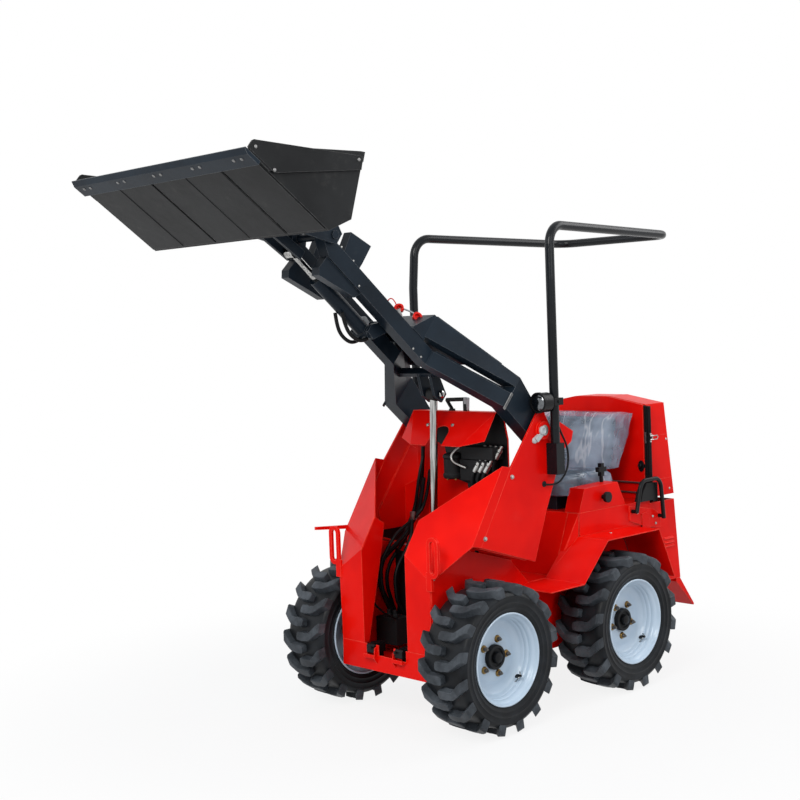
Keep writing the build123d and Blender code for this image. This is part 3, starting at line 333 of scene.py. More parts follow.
# %% Seat vinyl and clear film
def vinyl(name, colour):
    finish = Finish(name)
    cells = finish.node("TexVoronoi", {"feature": "DISTANCE_TO_EDGE"}, {"Vector": finish.position, "Scale": 420.0})
    grain = finish.step(Field(finish, cells.outputs["Distance"]), 0.0, 0.25)
    tone = finish.mix(finish.noise(7.0), colour, [1.5 * c for c in colour[:3]] + [1])
    return finish.surface(
        Base_Color=tone,
        Roughness=0.46 - grain * 0.08,
        Normal=finish.bump(grain + finish.noise(60.0) * 0.6, 0.0003),
    )


def film(name):
    """Clear plastic: a painted white highlight along creases that run aslant, and between them a bluish haze whose
    lighter patches are painted soft light.
    """
    finish = Finish(name)
    aslant = {"Vector": finish.position, "Rotation": (0.7, 0.25, 0), "Scale": (1.0, 2.2, 0.5)}
    folds = finish.noise(4.5, 3.0, 0.5, finish.node("Mapping", {}, aslant).outputs[0])
    # The white along the creases is a painted highlight, and the lighter haze is painted soft light.
    ridge = finish.step(folds, 0.475, 0.5) * finish.step(folds, 0.5, 0.53, 1.0, 0.0)
    haze = finish.step(finish.noise(4.0, 3.0), 0.35, 0.65)
    tone = finish.mix(haze, (0.14, 0.2, 0.28, 1), (0.4, 0.5, 0.62, 1))
    return finish.surface(
        Base_Color=finish.mix(ridge * 0.6, tone, (0.7, 0.76, 0.82, 1)),
        Roughness=0.16 + haze * 0.1,
        Alpha=0.34 + haze * 0.38 + ridge * 0.06,
        Normal=finish.bump(folds + finish.noise(34.0, 4.0) * 0.25, 0.012),
    )


seat_vinyl = vinyl("seat_vinyl", (0.016, 0.018, 0.022, 1))
clear_film = film("clear_film")
print("soft finishes:", seat_vinyl.name, clear_film.name)

# %% [markdown]
# Every solid carries the name of its material slot in the record, so one table dresses the whole frame, and a
# few solids get a finish of their own. The same table is also turned round, from each finish to its slot.

# %% Dressing the frame's solids
FINISHES = {
    "red_paint": red_enamel,
    "black_paint": black_enamel,
    "white_paint": wheel_enamel,
    "tyre_rubber": lug_rubber,
    "rubber_black": soft_rubber,
    "plastic_black": black_plastic,
    "chrome_rod": hard_chrome,
    "steel": zinc,
    "iron": raw_iron,
    "seat_vinyl": seat_vinyl,
}
SPECIAL = {"rops": tube_enamel, "bucket_shell": bucket_enamel}
for part in frame["record"]["subparts"]:
    for slot in nodes[part["node"]].material_slots:
        slot.material = SPECIAL.get(part["node"], FINISHES[part["material_slot"]])
SLOTS = {finish: slot for slot, finish in FINISHES.items()}
SLOTS.update(dict.fromkeys((hard_chrome, yellow_zinc, bare_steel, dark_steel, cast_alloy), "steel"))
SLOTS.update({bucket_enamel: "black_paint", side_rubber: "tyre_rubber"})
SLOTS.update({red_plastic: "plastic_black", clear_film: "seat_vinyl"})

# %% [markdown]
# Every added piece starts as a Form: a list of corners in layout millimetres and a list of faces. A few
# methods fill it: a skin stretched over loops, a box, a slab with an outline, a turned shape, a tube along a
# path and a hexagon bolt. At the end one method makes the mesh, smooths it, and hands it to its body.

# %% Forms
def frame_at(centre, direction):
    """A matrix whose origin is the centre and whose Z runs along the direction."""
    turn = Vector(direction).to_track_quat("Z", "Y").to_matrix().to_4x4()
    return Matrix.Translation(Vector(centre)) @ turn


def circle(steps):
    """Angles once round a circle."""
    return [2 * math.pi * k / steps for k in range(steps)]


def in_scene(name, data):
    made = bpy.data.objects.new(name, data)
    bpy.context.scene.collection.objects.link(made)
    return made


def join(made, body, replaces=()):
    """Lets a piece ride on its body, in place of any plain solid that it stands for."""
    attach(made, body)
    if replaces:
        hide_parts(*replaces)
    return made


class Form:
    """Corners and faces of one piece, in layout millimetres."""

    WASHER = 1.6
    RIPPLE = 3.2

    def __init__(self):
        self.corners, self.faces = [], []

    def add(self, corners, faces):
        first = len(self.corners)
        self.corners += [Vector(corner) for corner in corners]
        self.faces += [[first + i for i in face] for face in faces]
        return self

    def skin(self, loops, around=False):
        """Faces between closed loops of equal length, with flat ends or joined round to the start."""
        count, rows = len(loops[0]), len(loops)
        faces = []
        for row in range(rows if around else rows - 1):
            here, there = row * count, (row + 1) % rows * count
            faces += [(here + i, here + (i + 1) % count, there + (i + 1) % count, there + i) for i in range(count)]
        if not around:
            faces += [range(count), range((rows - 1) * count, rows * count)]
        return self.add([corner for loop in loops for corner in loop], faces)

    def slab(self, outline, first, last, axis="y"):
        """A plate between two places on an axis; its outline gives the other two coordinates."""
        i = "xyz".index(axis)
        return self.skin([[(*point[:i], where, *point[i:]) for point in outline] for where in (first, last)])

    def box(self, low, high):
        (x0, y0, z0), (x1, y1, z1) = low, high
        return self.slab([(x0, y0), (x1, y0), (x1, y1), (x0, y1)], z0, z1, "z")

    def turned(self, profile, centre, direction=(0, 1, 0), steps=32, around=False):
        """A profile of (radius, height) turned about an axis."""
        axis, turns = frame_at(centre, direction), circle(steps)
        loops = [[axis @ Vector((r * math.cos(a), r * math.sin(a), h)) for a in turns] for r, h in profile]
        return self.skin(loops, around)

    def tube(self, path, radius, sides=12):
        """A round tube along a path of points, mitred at each."""
        path = [Vector(point) for point in path]
        loops, across = [], None
        for before, point, after in zip(path[:1] + path, path, path[1:] + path[-1:]):
            ahead = ((point - before).normalized() + (after - point).normalized()).normalized()
            if across is None:
                across = ahead.orthogonal().normalized()
            across = (across - ahead * across.dot(ahead)).normalized()
            other = ahead.cross(across)
            loops.append([point + (across * math.cos(a) + other * math.sin(a)) * radius for a in circle(sides)])
        return self.skin(loops)

    def bolt(self, centre, direction, across, head):
        """A hexagon head with its washer; across is the head's width over its corners."""
        half = across / 2
        self.turned([(half * 1.25, -0.4), (half * 1.25, self.WASHER)], centre, direction, 24)
        top = [(half, self.WASHER - 0.2), (half, self.WASHER + head - 1.4), (half - 1.4, self.WASHER + head)]
        return self.turned(top, centre, direction, 6)

    def screw(self, centre, direction, radius, height):
        """A low domed head."""
        dome = [(radius, -0.4), (radius, height * 0.35), (radius * 0.8, height * 0.75), (radius * 0.35, height)]
        return self.turned(dome, centre, direction, 20)

    def weld(self, path, radius):
        """A bead of weld metal along a path, with the ripples that its pools leave."""
        for first, last in zip(path, path[1:]):
            run = last - first
            axis, count, loops = frame_at(first, run), max(int(run.length / self.RIPPLE), 2), []
            for k in range(count + 1):
                size, at = radius * (1 + (0.16 if k % 2 else -0.08)), run.length * k / count
                loops.append([axis @ Vector((size * math.cos(a), size * math.sin(a), at)) for a in circle(7)])
            self.skin(loops)
        return self

    def mirrored(self):
        """Adds the other half, across the machine's middle plane."""
        others = [Vector((c.x, -c.y, c.z)) for c in self.corners]
        return self.add(others, [tuple(face) for face in self.faces])

    def as_object(self, name):
        """An object with this form's corners in frame metres and its faces turned outwards."""
        mesh = bpy.data.meshes.new(name)
        mesh.from_pydata([place(*corner) for corner in self.corners], [], [tuple(face) for face in self.faces])
        shell = bmesh.new()
        shell.from_mesh(mesh)
        bmesh.ops.recalc_face_normals(shell, faces=shell.faces)
        shell.to_mesh(mesh)
        shell.free()
        return in_scene(name, mesh)

    def piece(self, name, finish, body="chassis", smooth=40, bevel=0.0, replaces=()):
        """A finished piece: edges sharper than smooth stay sharp, and bevel rounds them."""
        made = self.as_object(name)
        made.data.materials.append(finish)
        if bevel:
            edge = made.modifiers.new("rounded_edges", "BEVEL")
            edge.width, edge.segments, edge.limit_method, edge.harden_normals = bevel * MM, 2, "ANGLE", True
        made.data.shade_smooth()
        made.data.set_sharp_from_angle(angle=math.radians(smooth))
        print("made", name, "with", len(self.faces), "faces")
        return join(made, body, replaces)


# %% [markdown]
# Hoses and cables bend under their own stiffness, so straight runs would look like wire. A NURBS curve passes
# near a few points on one smooth line and carries its own round section. Each of these is held at both ends by
# the same body, so it simply rides on it.

# %% Hoses
def hose(name, points, radius, body="chassis", finish=soft_rubber):
    line = bpy.data.curves.new(name, "CURVE")
    line.dimensions, line.bevel_depth, line.bevel_resolution, line.resolution_u = "3D", radius * MM, 5, 16
    line.use_fill_caps = True
    spline = line.splines.new("NURBS")
    spline.points.add(len(points) - 1)
    for knot, point in zip(spline.points, points):
        knot.co = (*place(*point), 1)
    spline.order_u, spline.use_endpoint_u = 3, True
    line.materials.append(finish)
    return join(in_scene(name, line), body)


print("hose helper ready")

# %% [markdown]
# A skid steer's tyre is mostly tread: sixteen deep lugs a side, each starting at the middle, running out to the
# shoulder and leaning back there, so that mud is pushed out as the wheel turns. A cut or displaced cylinder
# would smear their sharp sides, so each lug is lofted through a short table of stations from the middle to the
# shoulder and sits on a turned carcass with its own sidewall rings. The left and right rows are half a pitch
# apart. The whole tyre is made once, about the origin, and placed four times.

# %% Tread and carcass
WHEELS = {"front_left": (1, 1), "front_right": (1, -1), "rear_left": (-1, 1), "rear_right": (-1, -1)}
tyre_low, tyre_high = layout_box("tyre_front_left")
WHEEL_Y = (tyre_low.y + tyre_high.y) / 2
TYRE_RADIUS = (tyre_high.z - tyre_low.z) / 2
LUGS = 16
FIRST_LUG = math.radians(171.67)
STATIONS = (  # y, half width, place round the tread, height below the tyre's radius, foot below the radius
    (-14, 9, 22, 2.5, 34),
    (-9, 15, 22, 0.6, 34),
    (18, 17, 22, 0.2, 34),
    (30, 15, 22, 0.8, 34),
    (52, 15, 20, 1.2, 36),
    (66, 16.5, 10, 1.8, 36),
    (86, 18.5, -8, 3.0, 38),
    (98, 19, -18, 4.6, 40),
    (103.4, 18, -23, 12, 42),
    (103.8, 15, -25, 34, 46),
)
CARCASS = (  # radius, y: from the bead over the tread, for one side
    (165, 88), (172, 91), (180, 94.5), (186, 98), (190, 97), (204, 100.5), (205.4, 101.8), (207, 100.8),
    (222, 102), (226, 103.6), (229, 103.8), (231, 102.4), (238, 98.5), (244, 90), (246, 74), (249, 40), (250, 0),
)


def lug(hand, turn):
    loops = []
    for y, half, back, drop, foot in STATIONS:
        top, low = TYRE_RADIUS - drop, TYRE_RADIUS - foot
        flank = ((half + 5, low), (half + 1, top - 2), (half - 1, top))
        section = [(-x, r) for x, r in flank] + list(reversed(flank))
        around = [(turn + (back + x) / TYRE_RADIUS, r) for x, r in section]
        loops.append([(r * math.sin(a), hand * y, r * math.cos(a)) for a, r in around])
    return loops


tread, carcass = Form(), Form()
for k in range(LUGS):
    for offset, hand in ((0, 1), (0.5, -1)):
        tread.skin(lug(hand, FIRST_LUG - 2 * math.pi * (k + offset) / LUGS))
half_way = [(r, -y) for r, y in CARCASS]
carcass.turned(half_way + [(r, -y) for r, y in reversed(half_way[:-1])], (0, 0, 0), steps=112, around=True)
print("tread faces:", len(tread.faces), "carcass faces:", len(carcass.faces))


# %% The four tyres
def moved(form, centre):
    return Form().add([corner + Vector(centre) for corner in form.corners], form.faces)


for name, (fore, side) in WHEELS.items():
    hub = (fore * HALF_WHEELBASE, side * WHEEL_Y, TYRE_RADIUS)
    moved(carcass, hub).piece("carcass_" + name, side_rubber, "wheel_" + name, replaces=("tyre_" + name,))
    moved(tread, hub).piece("tread_" + name, lug_rubber, "wheel_" + name, smooth=25)

# %% [markdown]
# The wheel is a pressed disc welded inside a rolled rim. Light runs round every step of it, so the profile
# matters more than anything: a rolled flange, the bead seat, two ridges that stiffen the barrel, and a disc set
# deep inside with a raised ring for the nuts. Five nuts on conical washers hold it to the hub flange, and a
# plastic cap closes the hub. The valve comes out of the barrel, bends out to where the tyre is filled, and is
# held by a wire clip.

# %% Rims, hubs, nuts, valves and their clips
RIM_PROFILE = (  # radius, distance out from the wheel's middle
    (168.5, 88), (169, 93.5), (167, 95), (164, 94.6), (161.5, 91), (160.5, 84), (157, 78), (152, 73), (150.5, 66),
    (150, 58), (146, 54), (144.5, 49), (144, 41), (140, 37), (138, 30), (135.5, 26), (128, 20.5), (118, 17.5),
    (104, 16.5), (96, 18.5), (84, 20), (52, 20), (44, 18), (40, 14), (40, 8), (120, 8), (138, 14), (143, 22),
    (146, 34), (150, 0), (150, -60), (158, -80), (163, -94.6), (167, -95), (169, -93.5), (168.5, -88), (164, -78),
    (156, -60), (156, 60), (164, 78),
)
NUT_RING = 66
NUT_TURNS = {"front_left": 180, "front_right": 200, "rear_left": 270, "rear_right": 250}
for name, (fore, side) in WHEELS.items():
    hub = Vector((fore * HALF_WHEELBASE, side * WHEEL_Y, TYRE_RADIUS))
    out, body = Vector((0, side, 0)), "wheel_" + name
    rim = Form().turned(RIM_PROFILE, hub, out, 96, around=True)
    rim.piece("rim_shell_" + name, wheel_enamel, body, replaces=("rim_" + name,))
    cap = Form().turned([(22, 28), (22, 40), (19, 47), (12, 50), (5, 51)], hub, out, 32)
    cap.piece("hub_cap_" + name, black_plastic, body)
    flange = Form().turned([(45, 6), (45, 34), (43, 37), (34, 37), (32, 31), (20, 31)], hub, out, 48)
    washers, nuts = Form(), Form()
    for k in range(5):
        angle = math.radians(NUT_TURNS[name] + 72 * k)
        spot = hub + Vector((math.cos(angle), 0, math.sin(angle))) * NUT_RING
        washers.turned([(14, 19), (14, 22), (11, 27)], spot, out, 28)
        nuts.turned([(8.8, 26), (8.8, 34), (7.6, 36), (5, 36)], spot, out, 6)
        nuts.turned([(4.6, 30), (4.6, 41), (3.6, 42.5)], spot, out, 16)
    flange.piece("hub_" + name, raw_iron, body)
    washers.piece("nut_washers_" + name, yellow_zinc, body)
    nuts.piece("wheel_nuts_" + name, dark_steel, body)
    lean = Vector((-0.75, 0, -0.66)).normalized()
    foot, aside = hub + lean * 141 + out * 34, lean.cross(out)
    bend = ((0, 0), (9, 5), (14, 14), (17, 32))
    stem = Form().tube([foot - lean * inward + out * outward for inward, outward in bend], 4.6)
    stem.turned([(6.4, 0), (6.4, 5), (4, 8)], foot + lean * 2, -lean, 20)
    stem.piece("valve_" + name, soft_rubber, body)
    wire = ((0, 20, 4), (12, 9, 22), (12, -7, 22), (0, -20, 4))
    clip = Form().tube([foot - lean * a + aside * b + out * c for a, b, c in wire], 2.6, 8)
    clip.piece("valve_clip_" + name, zinc, body)

# %% [markdown]
# The lift arm is two rails that splay apart towards the driver, plated together further forward. Folded plate
# shows its thickness as a bright edge; at the rear end of each lower rail a bare steel strip is a painted
# highlight for it, and each joint between plates has a bead of weld. The arm is drawn along its own line: s runs
# from its pivot towards the bucket and t stands square to it.

# %% The arm's own directions
PIVOT_X, PIVOT_Z, ARM_ANGLE = 15, 1072, math.radians(41)
BUCKET_X, BUCKET_Z, BUCKET_ANGLE = 1170, 1793, math.radians(36.6)


def tilted(x, z, angle, along, across, y):
    cos, sin = math.cos(angle), math.sin(angle)
    return Vector((x + along * cos - across * sin, y, z + along * sin + across * cos))


def arm(s, t, y=0.0):
    return tilted(PIVOT_X, PIVOT_Z, ARM_ANGLE, s, t, y)


def bucket(u, v, y=0.0):
    return tilted(BUCKET_X, BUCKET_Z, BUCKET_ANGLE, u, v, y)


ALONG, ACROSS = arm(1, 0) - arm(0, 0), arm(0, 1) - arm(0, 0)
FLOOR_ACROSS = bucket(0, 1) - bucket(0, 0)
print("arm runs along", [round(c, 3) for c in ALONG])

# %% Welds, pins and bolts of the arm
welds, screws, plates, eye, heads = (Form() for _ in range(5))
for start, end, radius in (
    ((206, -44, 331), (206, 16, 331), 2.4),
    ((467, -44, 113), (467, 16, 113), 2.4),
    ((528, 20, 113), (600, 20, 113), 2.0),
):
    welds.weld([arm(*start), arm(*end)], radius)
welds.mirrored().piece("arm_welds", black_enamel, "boom", smooth=60)
for s, t, y in ((551, -40, 112.3), (500, -38, 112.3), (1043, 25, 104.3), (971, 23, 104.3), (900, -34, 112.3)):
    screws.screw(arm(s, t, y), (0, 1, 0), 4.5, 2.6)
screws.mirrored().piece("arm_bolts", zinc, "boom", smooth=30)
# A bare steel strip on the rear end of each lower rail: a painted highlight for its bright folded edge.
plates.slab([(203, 1161), (213, 1169), (163, 1226), (153, 1218)], 330.5, 333)
plates.mirrored().piece("arm_end_highlight_strips", bare_steel, "boom", bevel=1.5)
eye.turned([(20, -20.6), (27, -18), (27, 18), (20, 20.6)], arm(271, -39), (0, 1, 0), 40)
eye.piece("lift_eye_boss", raw_iron, "lift_rod")
for side in (1, -1):
    heads.turned([(15, -1), (15, 5), (12, 8), (5, 9)], arm(271, -39, side * 42), (0, side, 0), 32)
heads.piece("lift_pin_heads", hard_chrome, "boom")

# %% [markdown]
# Two quick couplers for a powered attachment stand on the arm behind its bulkhead. Each has a dust cap in red
# plastic on a soft strap, and the caps are left dangling, so that they show as two rings.

# %% Dust caps
caps = Form()
CAP_RING = [(17, -8), (19, -7), (19, 7), (17, 8), (11, 8), (10, 6), (10, -6), (11, -8)]
for centre, facing in ((arm(610, 112, -14), (0.62, 0.55, 0.56)), (arm(556, 112, 42), (0.35, 0.8, 0.48))):
    caps.turned(CAP_RING, centre, facing, 36, around=True)
    caps.turned([(10.4, -6), (10.4, -3)], centre, facing, 28)
caps.piece("dust_caps", red_plastic, "boom", smooth=35)
strap = ((608, 120, -30), (640, 138, -34), (652, 128, -52), (636, 106, -58))
hose("dust_cap_strap", [arm(*point) for point in strap], 2.2, "boom", red_plastic)
link = ((598, 118, 0), (580, 124, 14), (568, 120, 28))
hose("dust_cap_link", [arm(*point) for point in link], 3.4, "boom", cast_alloy)

# %% [markdown]
# Under the arm the tilt cylinder is fed through a machined block with two fittings, and two hoses hang in a
# loop, long enough for the cylinder to swing.

# %% Tilt cylinder plumbing
block = Form()
side_view = ((696, -66), (734, -66), (740, -44), (728, -26), (700, -30))
block.skin([[arm(s, t, y) for s, t in side_view] for y in (-34, -6)])
block.turned([(8, 0), (8, 16), (10, 16), (10, 26), (7, 26), (7, 34)], arm(698, -48, -20), -ALONG, 6)
block.turned([(9, 0), (9, 10), (6, 12), (6, 22)], arm(716, -66, -20), -ACROSS, 6)
block.piece("port_block", cast_alloy, "boom", smooth=30, bevel=1.5)
for name, y, sag in (("tilt_hose_left", 24, 0), ("tilt_hose_right", -14, 8)):
    run = [(692, -104, y), (706, -132 - sag, y), (756, -148 - sag, y), (806, -136 - sag, y), (846, -108, y)]
    hose(name, [arm(*point) for point in run], 7, "boom")

# %% [markdown]
# The bucket is plate, rolled and welded. Its cutting edge is a thick bar held by rows of plough bolts, whose
# heads stand a little proud under the floor, and a thin side cutter is bolted to the outside of each cheek.
# Beads of weld run down the corners between cheeks, floor and back.

# %% Side cutters, bolts and welds of the bucket
bolts, welds, cutters = Form(), Form(), Form()
CUTTER = ((392, 6), (391, 32), (386, 41), (378, 46), (36, 276), (27, 279), (19, 275), (5, 242), (270, 8))
for y in (-430, -215, 0, 215, 430):
    for at in (y - 20, y + 20):
        bolts.screw(bucket(366, -14.2, at), -FLOOR_ACROSS, 6, 2.6)
for u, v in ((370, 26), (32, 262), (276, 14)):
    for side in (1, -1):
        bolts.screw(bucket(u, v, side * 492.5), (0, side, 0), 6, 3)
for side in (1, -1):
    cutters.skin([[bucket(u, v, side * y) for u, v in CUTTER] for y in (489, 492.5)])
    welds.weld([bucket(u, v, side * 481) for u, v in ((392, 2), (6, 2), (-46, 88))], 3)
for y in (-288, -97, 97, 288):
    welds.weld([bucket(14, -4, y), bucket(326, -4, y)], 2)
cutters.piece("side_cutters", bucket_enamel, "bucket", smooth=30)
bolts.piece("bucket_bolts", bare_steel, "bucket", smooth=35)
welds.piece("bucket_welds", bucket_enamel, "bucket", smooth=60)

# %% [markdown]
# The tower plates carry the arm's pivot pins. Beside each pin sits a small cast lug with a tail, a bolt holds
# the plate to the frame above the wheel, and the lamp's cable drops in a loop from its post and goes in through
# a rubber grommet.

# %% Towers, lamps and their cables
lamp_glass = metal("lamp_glass", (0.16, 0.17, 0.18, 1), 0.08, 0.0004)
SLOTS[lamp_glass] = "steel"
tower, bolts = Form(), Form()
tower.turned([(17, -2), (17, 6), (14, 10), (9, 11), (9, 6), (5, 6)], (28, 362, 1072), (0, 1, 0), 32)
tower.turned([(12, -2), (12, 5), (9, 8), (4, 9)], (62, 350, 1036), (0, 1, 0), 28)
tower.slab([(20, 1076), (14, 1058), (54, 1028), (70, 1044)], 350, 365)
tower.mirrored().piece("pivot_keepers", cast_alloy, smooth=35, bevel=2)
for spot in ((196, 350, 910), (355, 350, 698), (532, 250, 568)):
    bolts.bolt(spot, (0, 1, 0), 14, 6)
bolts.mirrored().piece("plate_bolts", zinc, smooth=30)
grommets = Form().turned([(11, -1), (12, 1.5), (11, 3), (6, 3)], (12, 350, 864), (0, 1, 0), 28)
grommets.mirrored().piece("cable_grommets", soft_rubber)

LAMP_CABLE = [(-52, 366, 1120), (-60, 374, 1070), (-98, 384, 1000), (-92, 388, 916), (-40, 386, 866)]
LAMP_CABLE += [(-8, 374, 860), (12, 352, 862)]
for name, side in (("left", 1), ("right", -1)):
    hose("lamp_cable_" + name, [(x, side * y, z) for x, y, z in LAMP_CABLE], 4)
    front, dish = Vector((63, side * 377, 1180)), [(32, 1.5), (27, 5), (18, 8.4), (8, 10)]
    rings = Form().turned([(38, -10), (40, -9), (40, 3), (37, 5), (33, 5), (32, 1)], front, (1, 0, 0), 48)
    rings.bolt((-30, side * 399, 1180), (0, side, 0), 13, 5)
    rings.piece("lamp_bezel_" + name, black_plastic)
    Form().turned(dish, front, (1, 0, 0), 48).piece("lamp_glass_" + name, lamp_glass, smooth=60)

# %% [markdown]
# The operator's seat is a foam cushion and back in black vinyl. Foam swells between its seams, so both are blown
# up a little in a cloth simulation instead of being drawn as boxes: each starts as a slightly smaller block,
# gets an even skin of small faces, and is inflated for twenty steps without gravity. No point may move further
# than six millimetres, which keeps the foam inside its film. The sewn channels are pressed in afterwards.

# %% Foam that swells
SKIN_CELL = 7  # millimetres, as all the lengths here
MOST_SWELLING = 6.0
SWELLING_STEPS = 20
PRESSURE = 4.0
SEAM_WIDTH = SEAM_DEPTH = 6.5


def swell(made):
    """Inflates the pad in a cloth simulation, and holds each point close to where it began."""
    start = [v.co.copy() for v in made.data.vertices]
    cloth = made.modifiers.new("swelling", "CLOTH")
    cloth.settings.use_pressure = True
    cloth.settings.uniform_pressure_force = PRESSURE
    cloth.settings.effector_weights.gravity = 0
    cloth.point_cache.frame_start, cloth.point_cache.frame_end = 1, SWELLING_STEPS
    for step in range(1, SWELLING_STEPS + 1):
        bpy.context.scene.frame_set(step)
    swollen = made.evaluated_get(bpy.context.evaluated_depsgraph_get())
    grown = [v.co.copy() for v in swollen.data.vertices]
    made.modifiers.remove(cloth)
    bpy.context.scene.frame_set(1)
    for vertex, old, new in zip(made.data.vertices, start, grown):
        move = new - old
        if move.length > MOST_SWELLING * MM:
            move = move.normalized() * MOST_SWELLING * MM
        vertex.co = old + move


def cushion(name, stands_for, loops, channels, along):
    """Loops of layout points round the pad; channels are places along an axis where it is sewn down."""
    made = Form().skin(loops).as_object(name)
    bpy.context.view_layer.objects.active = made
    made.select_set(True)
    skin = made.modifiers.new("even_skin", "REMESH")
    skin.mode, skin.voxel_size = "VOXEL", SKIN_CELL * MM
    bpy.ops.object.modifier_apply(modifier=skin.name)
    swell(made)
    for vertex in made.data.vertices:
        at = along(vertex.co)
        sunk = sum(math.exp(-(((at - channel) / SEAM_WIDTH) ** 2)) for channel in channels)
        vertex.co -= vertex.normal * (sunk * SEAM_DEPTH * MM)
    smooth = made.modifiers.new("rounding", "SUBSURF")
    smooth.levels = smooth.render_levels = 1
    bpy.ops.object.modifier_apply(modifier=smooth.name)
    made.select_set(False)
    made.data.shade_smooth()
    made.data.materials.clear()
    made.data.materials.append(seat_vinyl)
    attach(made, "chassis")
    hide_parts(stands_for)
    print(name, "has", len(made.data.vertices), "points")


def rounded(x0, x1, half, z0, z1, corner, steps=5):
    """A loop of points in the plane of x and y, with round corners, tilted from z0 to z1 along x."""
    rear, front, inner = x0 + corner, x1 - corner, half - corner
    loop = []
    for cx, cy, start in ((front, inner, 0), (rear, inner, 90), (rear, -inner, 180), (front, -inner, 270)):
        for k in range(steps + 1):
            a = math.radians(start + 90 * k / steps)
            x = cx + corner * math.cos(a)
            loop.append((x, cy + corner * math.sin(a), z0 + (z1 - z0) * (x - x0) / (x1 - x0)))
    return loop


SEAT = (  # rear x, front x, half width, rear z, front z, corner
    (-598, -262, 202, 772, 773, 40),
    (-604, -256, 208, 790, 792, 46),
    (-604, -252, 208, 824, 822, 48),
    (-592, -262, 198, 842, 834, 52),
)
BACK = (  # rear x, front x, half width, z
    (-634, -578, 196, 860),
    (-640, -582, 202, 900),
    (-664, -604, 202, 1000),
    (-684, -632, 196, 1060),
    (-688, -644, 176, 1074),
)
seat_loops = [rounded(*row) for row in SEAT]
back_loops = [rounded(x0, x1, half, z, z, 24) for x0, x1, half, z in BACK]
cushion("seat_cushion_pad", "seat_cushion", seat_loops, (-500, -400), lambda p: (p.x - SHIFT) / MM)
cushion("seat_back_pad", "seat_back", back_loops, (930, 1005), lambda p: p.z / MM)

# %% [markdown]
# A new machine comes with its seat still wrapped. The clear film is a loose bag: it touches the pad at its
# corners, stands off between them in long creases, and hangs free past the back's left side. Each bag is a skin
# over loops, with many points, and ridged noise pulls it into creases; the noise is the same on every run.

# %% Film bags
def bag(loops, rows, depth, scale, pull):
    """Loops of layout points, filled in to many rows, then creased along a direction."""
    filled = []
    for first, last in zip(loops, loops[1:]):
        filled += [[a.lerp(b, row / rows) for a, b in zip(first, last)] for row in range(rows)]
    filled.append(list(loops[-1]))
    middle = sum((corner for loop in filled for corner in loop), Vector()) / sum(len(loop) for loop in filled)
    for loop in filled:
        for i, corner in enumerate(loop):
            spot = Vector(corner[k] * scale[k] for k in range(3))
            crease = noise.ridged_multi_fractal(spot, 0.9, 2.1, 4, 0.9, 1.6) - 1.1
            outward = (corner - middle) * Vector((pull, 1, 0.4))
            loop[i] = corner + outward.normalized() * crease * depth
    return Form().skin(filled)


def dense(loop, times):
    """The same loop with more points on each run."""
    more = []
    for first, last in zip(loop, loop[1:] + loop[:1]):
        more += [Vector(first).lerp(Vector(last), k / times) for k in range(times)]
    return more


def back_loop(x0, x1, y1, y0, z):
    middle = (y0 + y1) / 2
    front = ((x1, y0 + 20), (x1 + 6, middle), (x1, y1 - 24), (x1 - 22, y1))
    rear = ((x0 + 6, y1), (x0, y1 - 30), (x0 - 2, middle), (x0, y0 + 20), (x0 + 20, y0), (x1 - 20, y0))
    return [(x, y, z) for x, y in front + rear]


BACK_FILM = (  # rear x, front x, left y, right y, z
    (-652, -548, 214, -214, 856),
    (-662, -558, 222, -216, 900),
    (-684, -577, 240, -218, 985),
    (-700, -606, 258, -216, 1066),
    (-702, -626, 262, -206, 1086),
    (-690, -650, 232, -160, 1092),
)
SEAT_FILM = (  # rear x, front x, half width, z
    (-610, -250, 226, 776),
    (-612, -244, 228, 800),
    (-608, -244, 224, 838),
    (-590, -262, 206, 858),
    (-560, -300, 160, 861),
)
back_bag = bag([dense(back_loop(*row), 12) for row in BACK_FILM], 12, 7.0, (0.012, 0.016, 0.007), 1.6)
back_bag.piece("seat_back_film", clear_film, smooth=180)
seat_runs = [dense(rounded(x0, x1, half, z, z, 50), 5) for x0, x1, half, z in SEAT_FILM]
bag(seat_runs, 8, 5.0, (0.014, 0.014, 0.02), 1.0).piece("seat_film", clear_film, smooth=180)

# %% [markdown]
# Behind the seat, a folded black seal stands on each side of the firewall, with three ribs pressed along it. A
# wire catch draws the hood against it, and a small knob below locks it. The hood itself has shallow folds that
# stiffen its sides, and louvres with their blades let the heat of the engine out.

# %% Seals, catches, knobs and folds of the hood
SEAL_OUT = 304
ribs, catches, folds, screws = (Form() for _ in range(4))
ribs.box((-758, 270, 722), (-747, SEAL_OUT, 1114))
ridges = [(-746.6, y, 2.6) for y in (270, 280, 290, 300)] + [(x, SEAL_OUT, 2.2) for x in (-755.5, -750.5)]
for x, y, radius in ridges:
    ribs.tube([(x, y, 724), (x, y, 1112)], radius, 8)
ribs.mirrored().piece("seal_ribs", soft_rubber)

for z in (970, 986):
    catches.tube([(-748, 306, z), (-770, 310, z), (-800, 304, z), (-812, 300, 978)], 2.2, 8)
for z in (962, 994):
    catches.bolt((-752, 304, z), (0, 1, 0), 9, 3)
catches.mirrored().piece("catch_wires", hard_chrome)

knob = Form().slab([(262 + 15 * math.cos(a), 856 + 24 * math.sin(a)) for a in circle(28)], -745, -734, "x")
knob.turned([(9, 0), (9, 10), (7, 13)], (-734, 262, 858), (1, 0, 0.2), 24)
knob.piece("hood_lock", black_plastic, bevel=1.5)


def hood_rear(z):
    """Where the hood's rear face is at a height."""
    return -952 + (z - 717) * 59 / 417


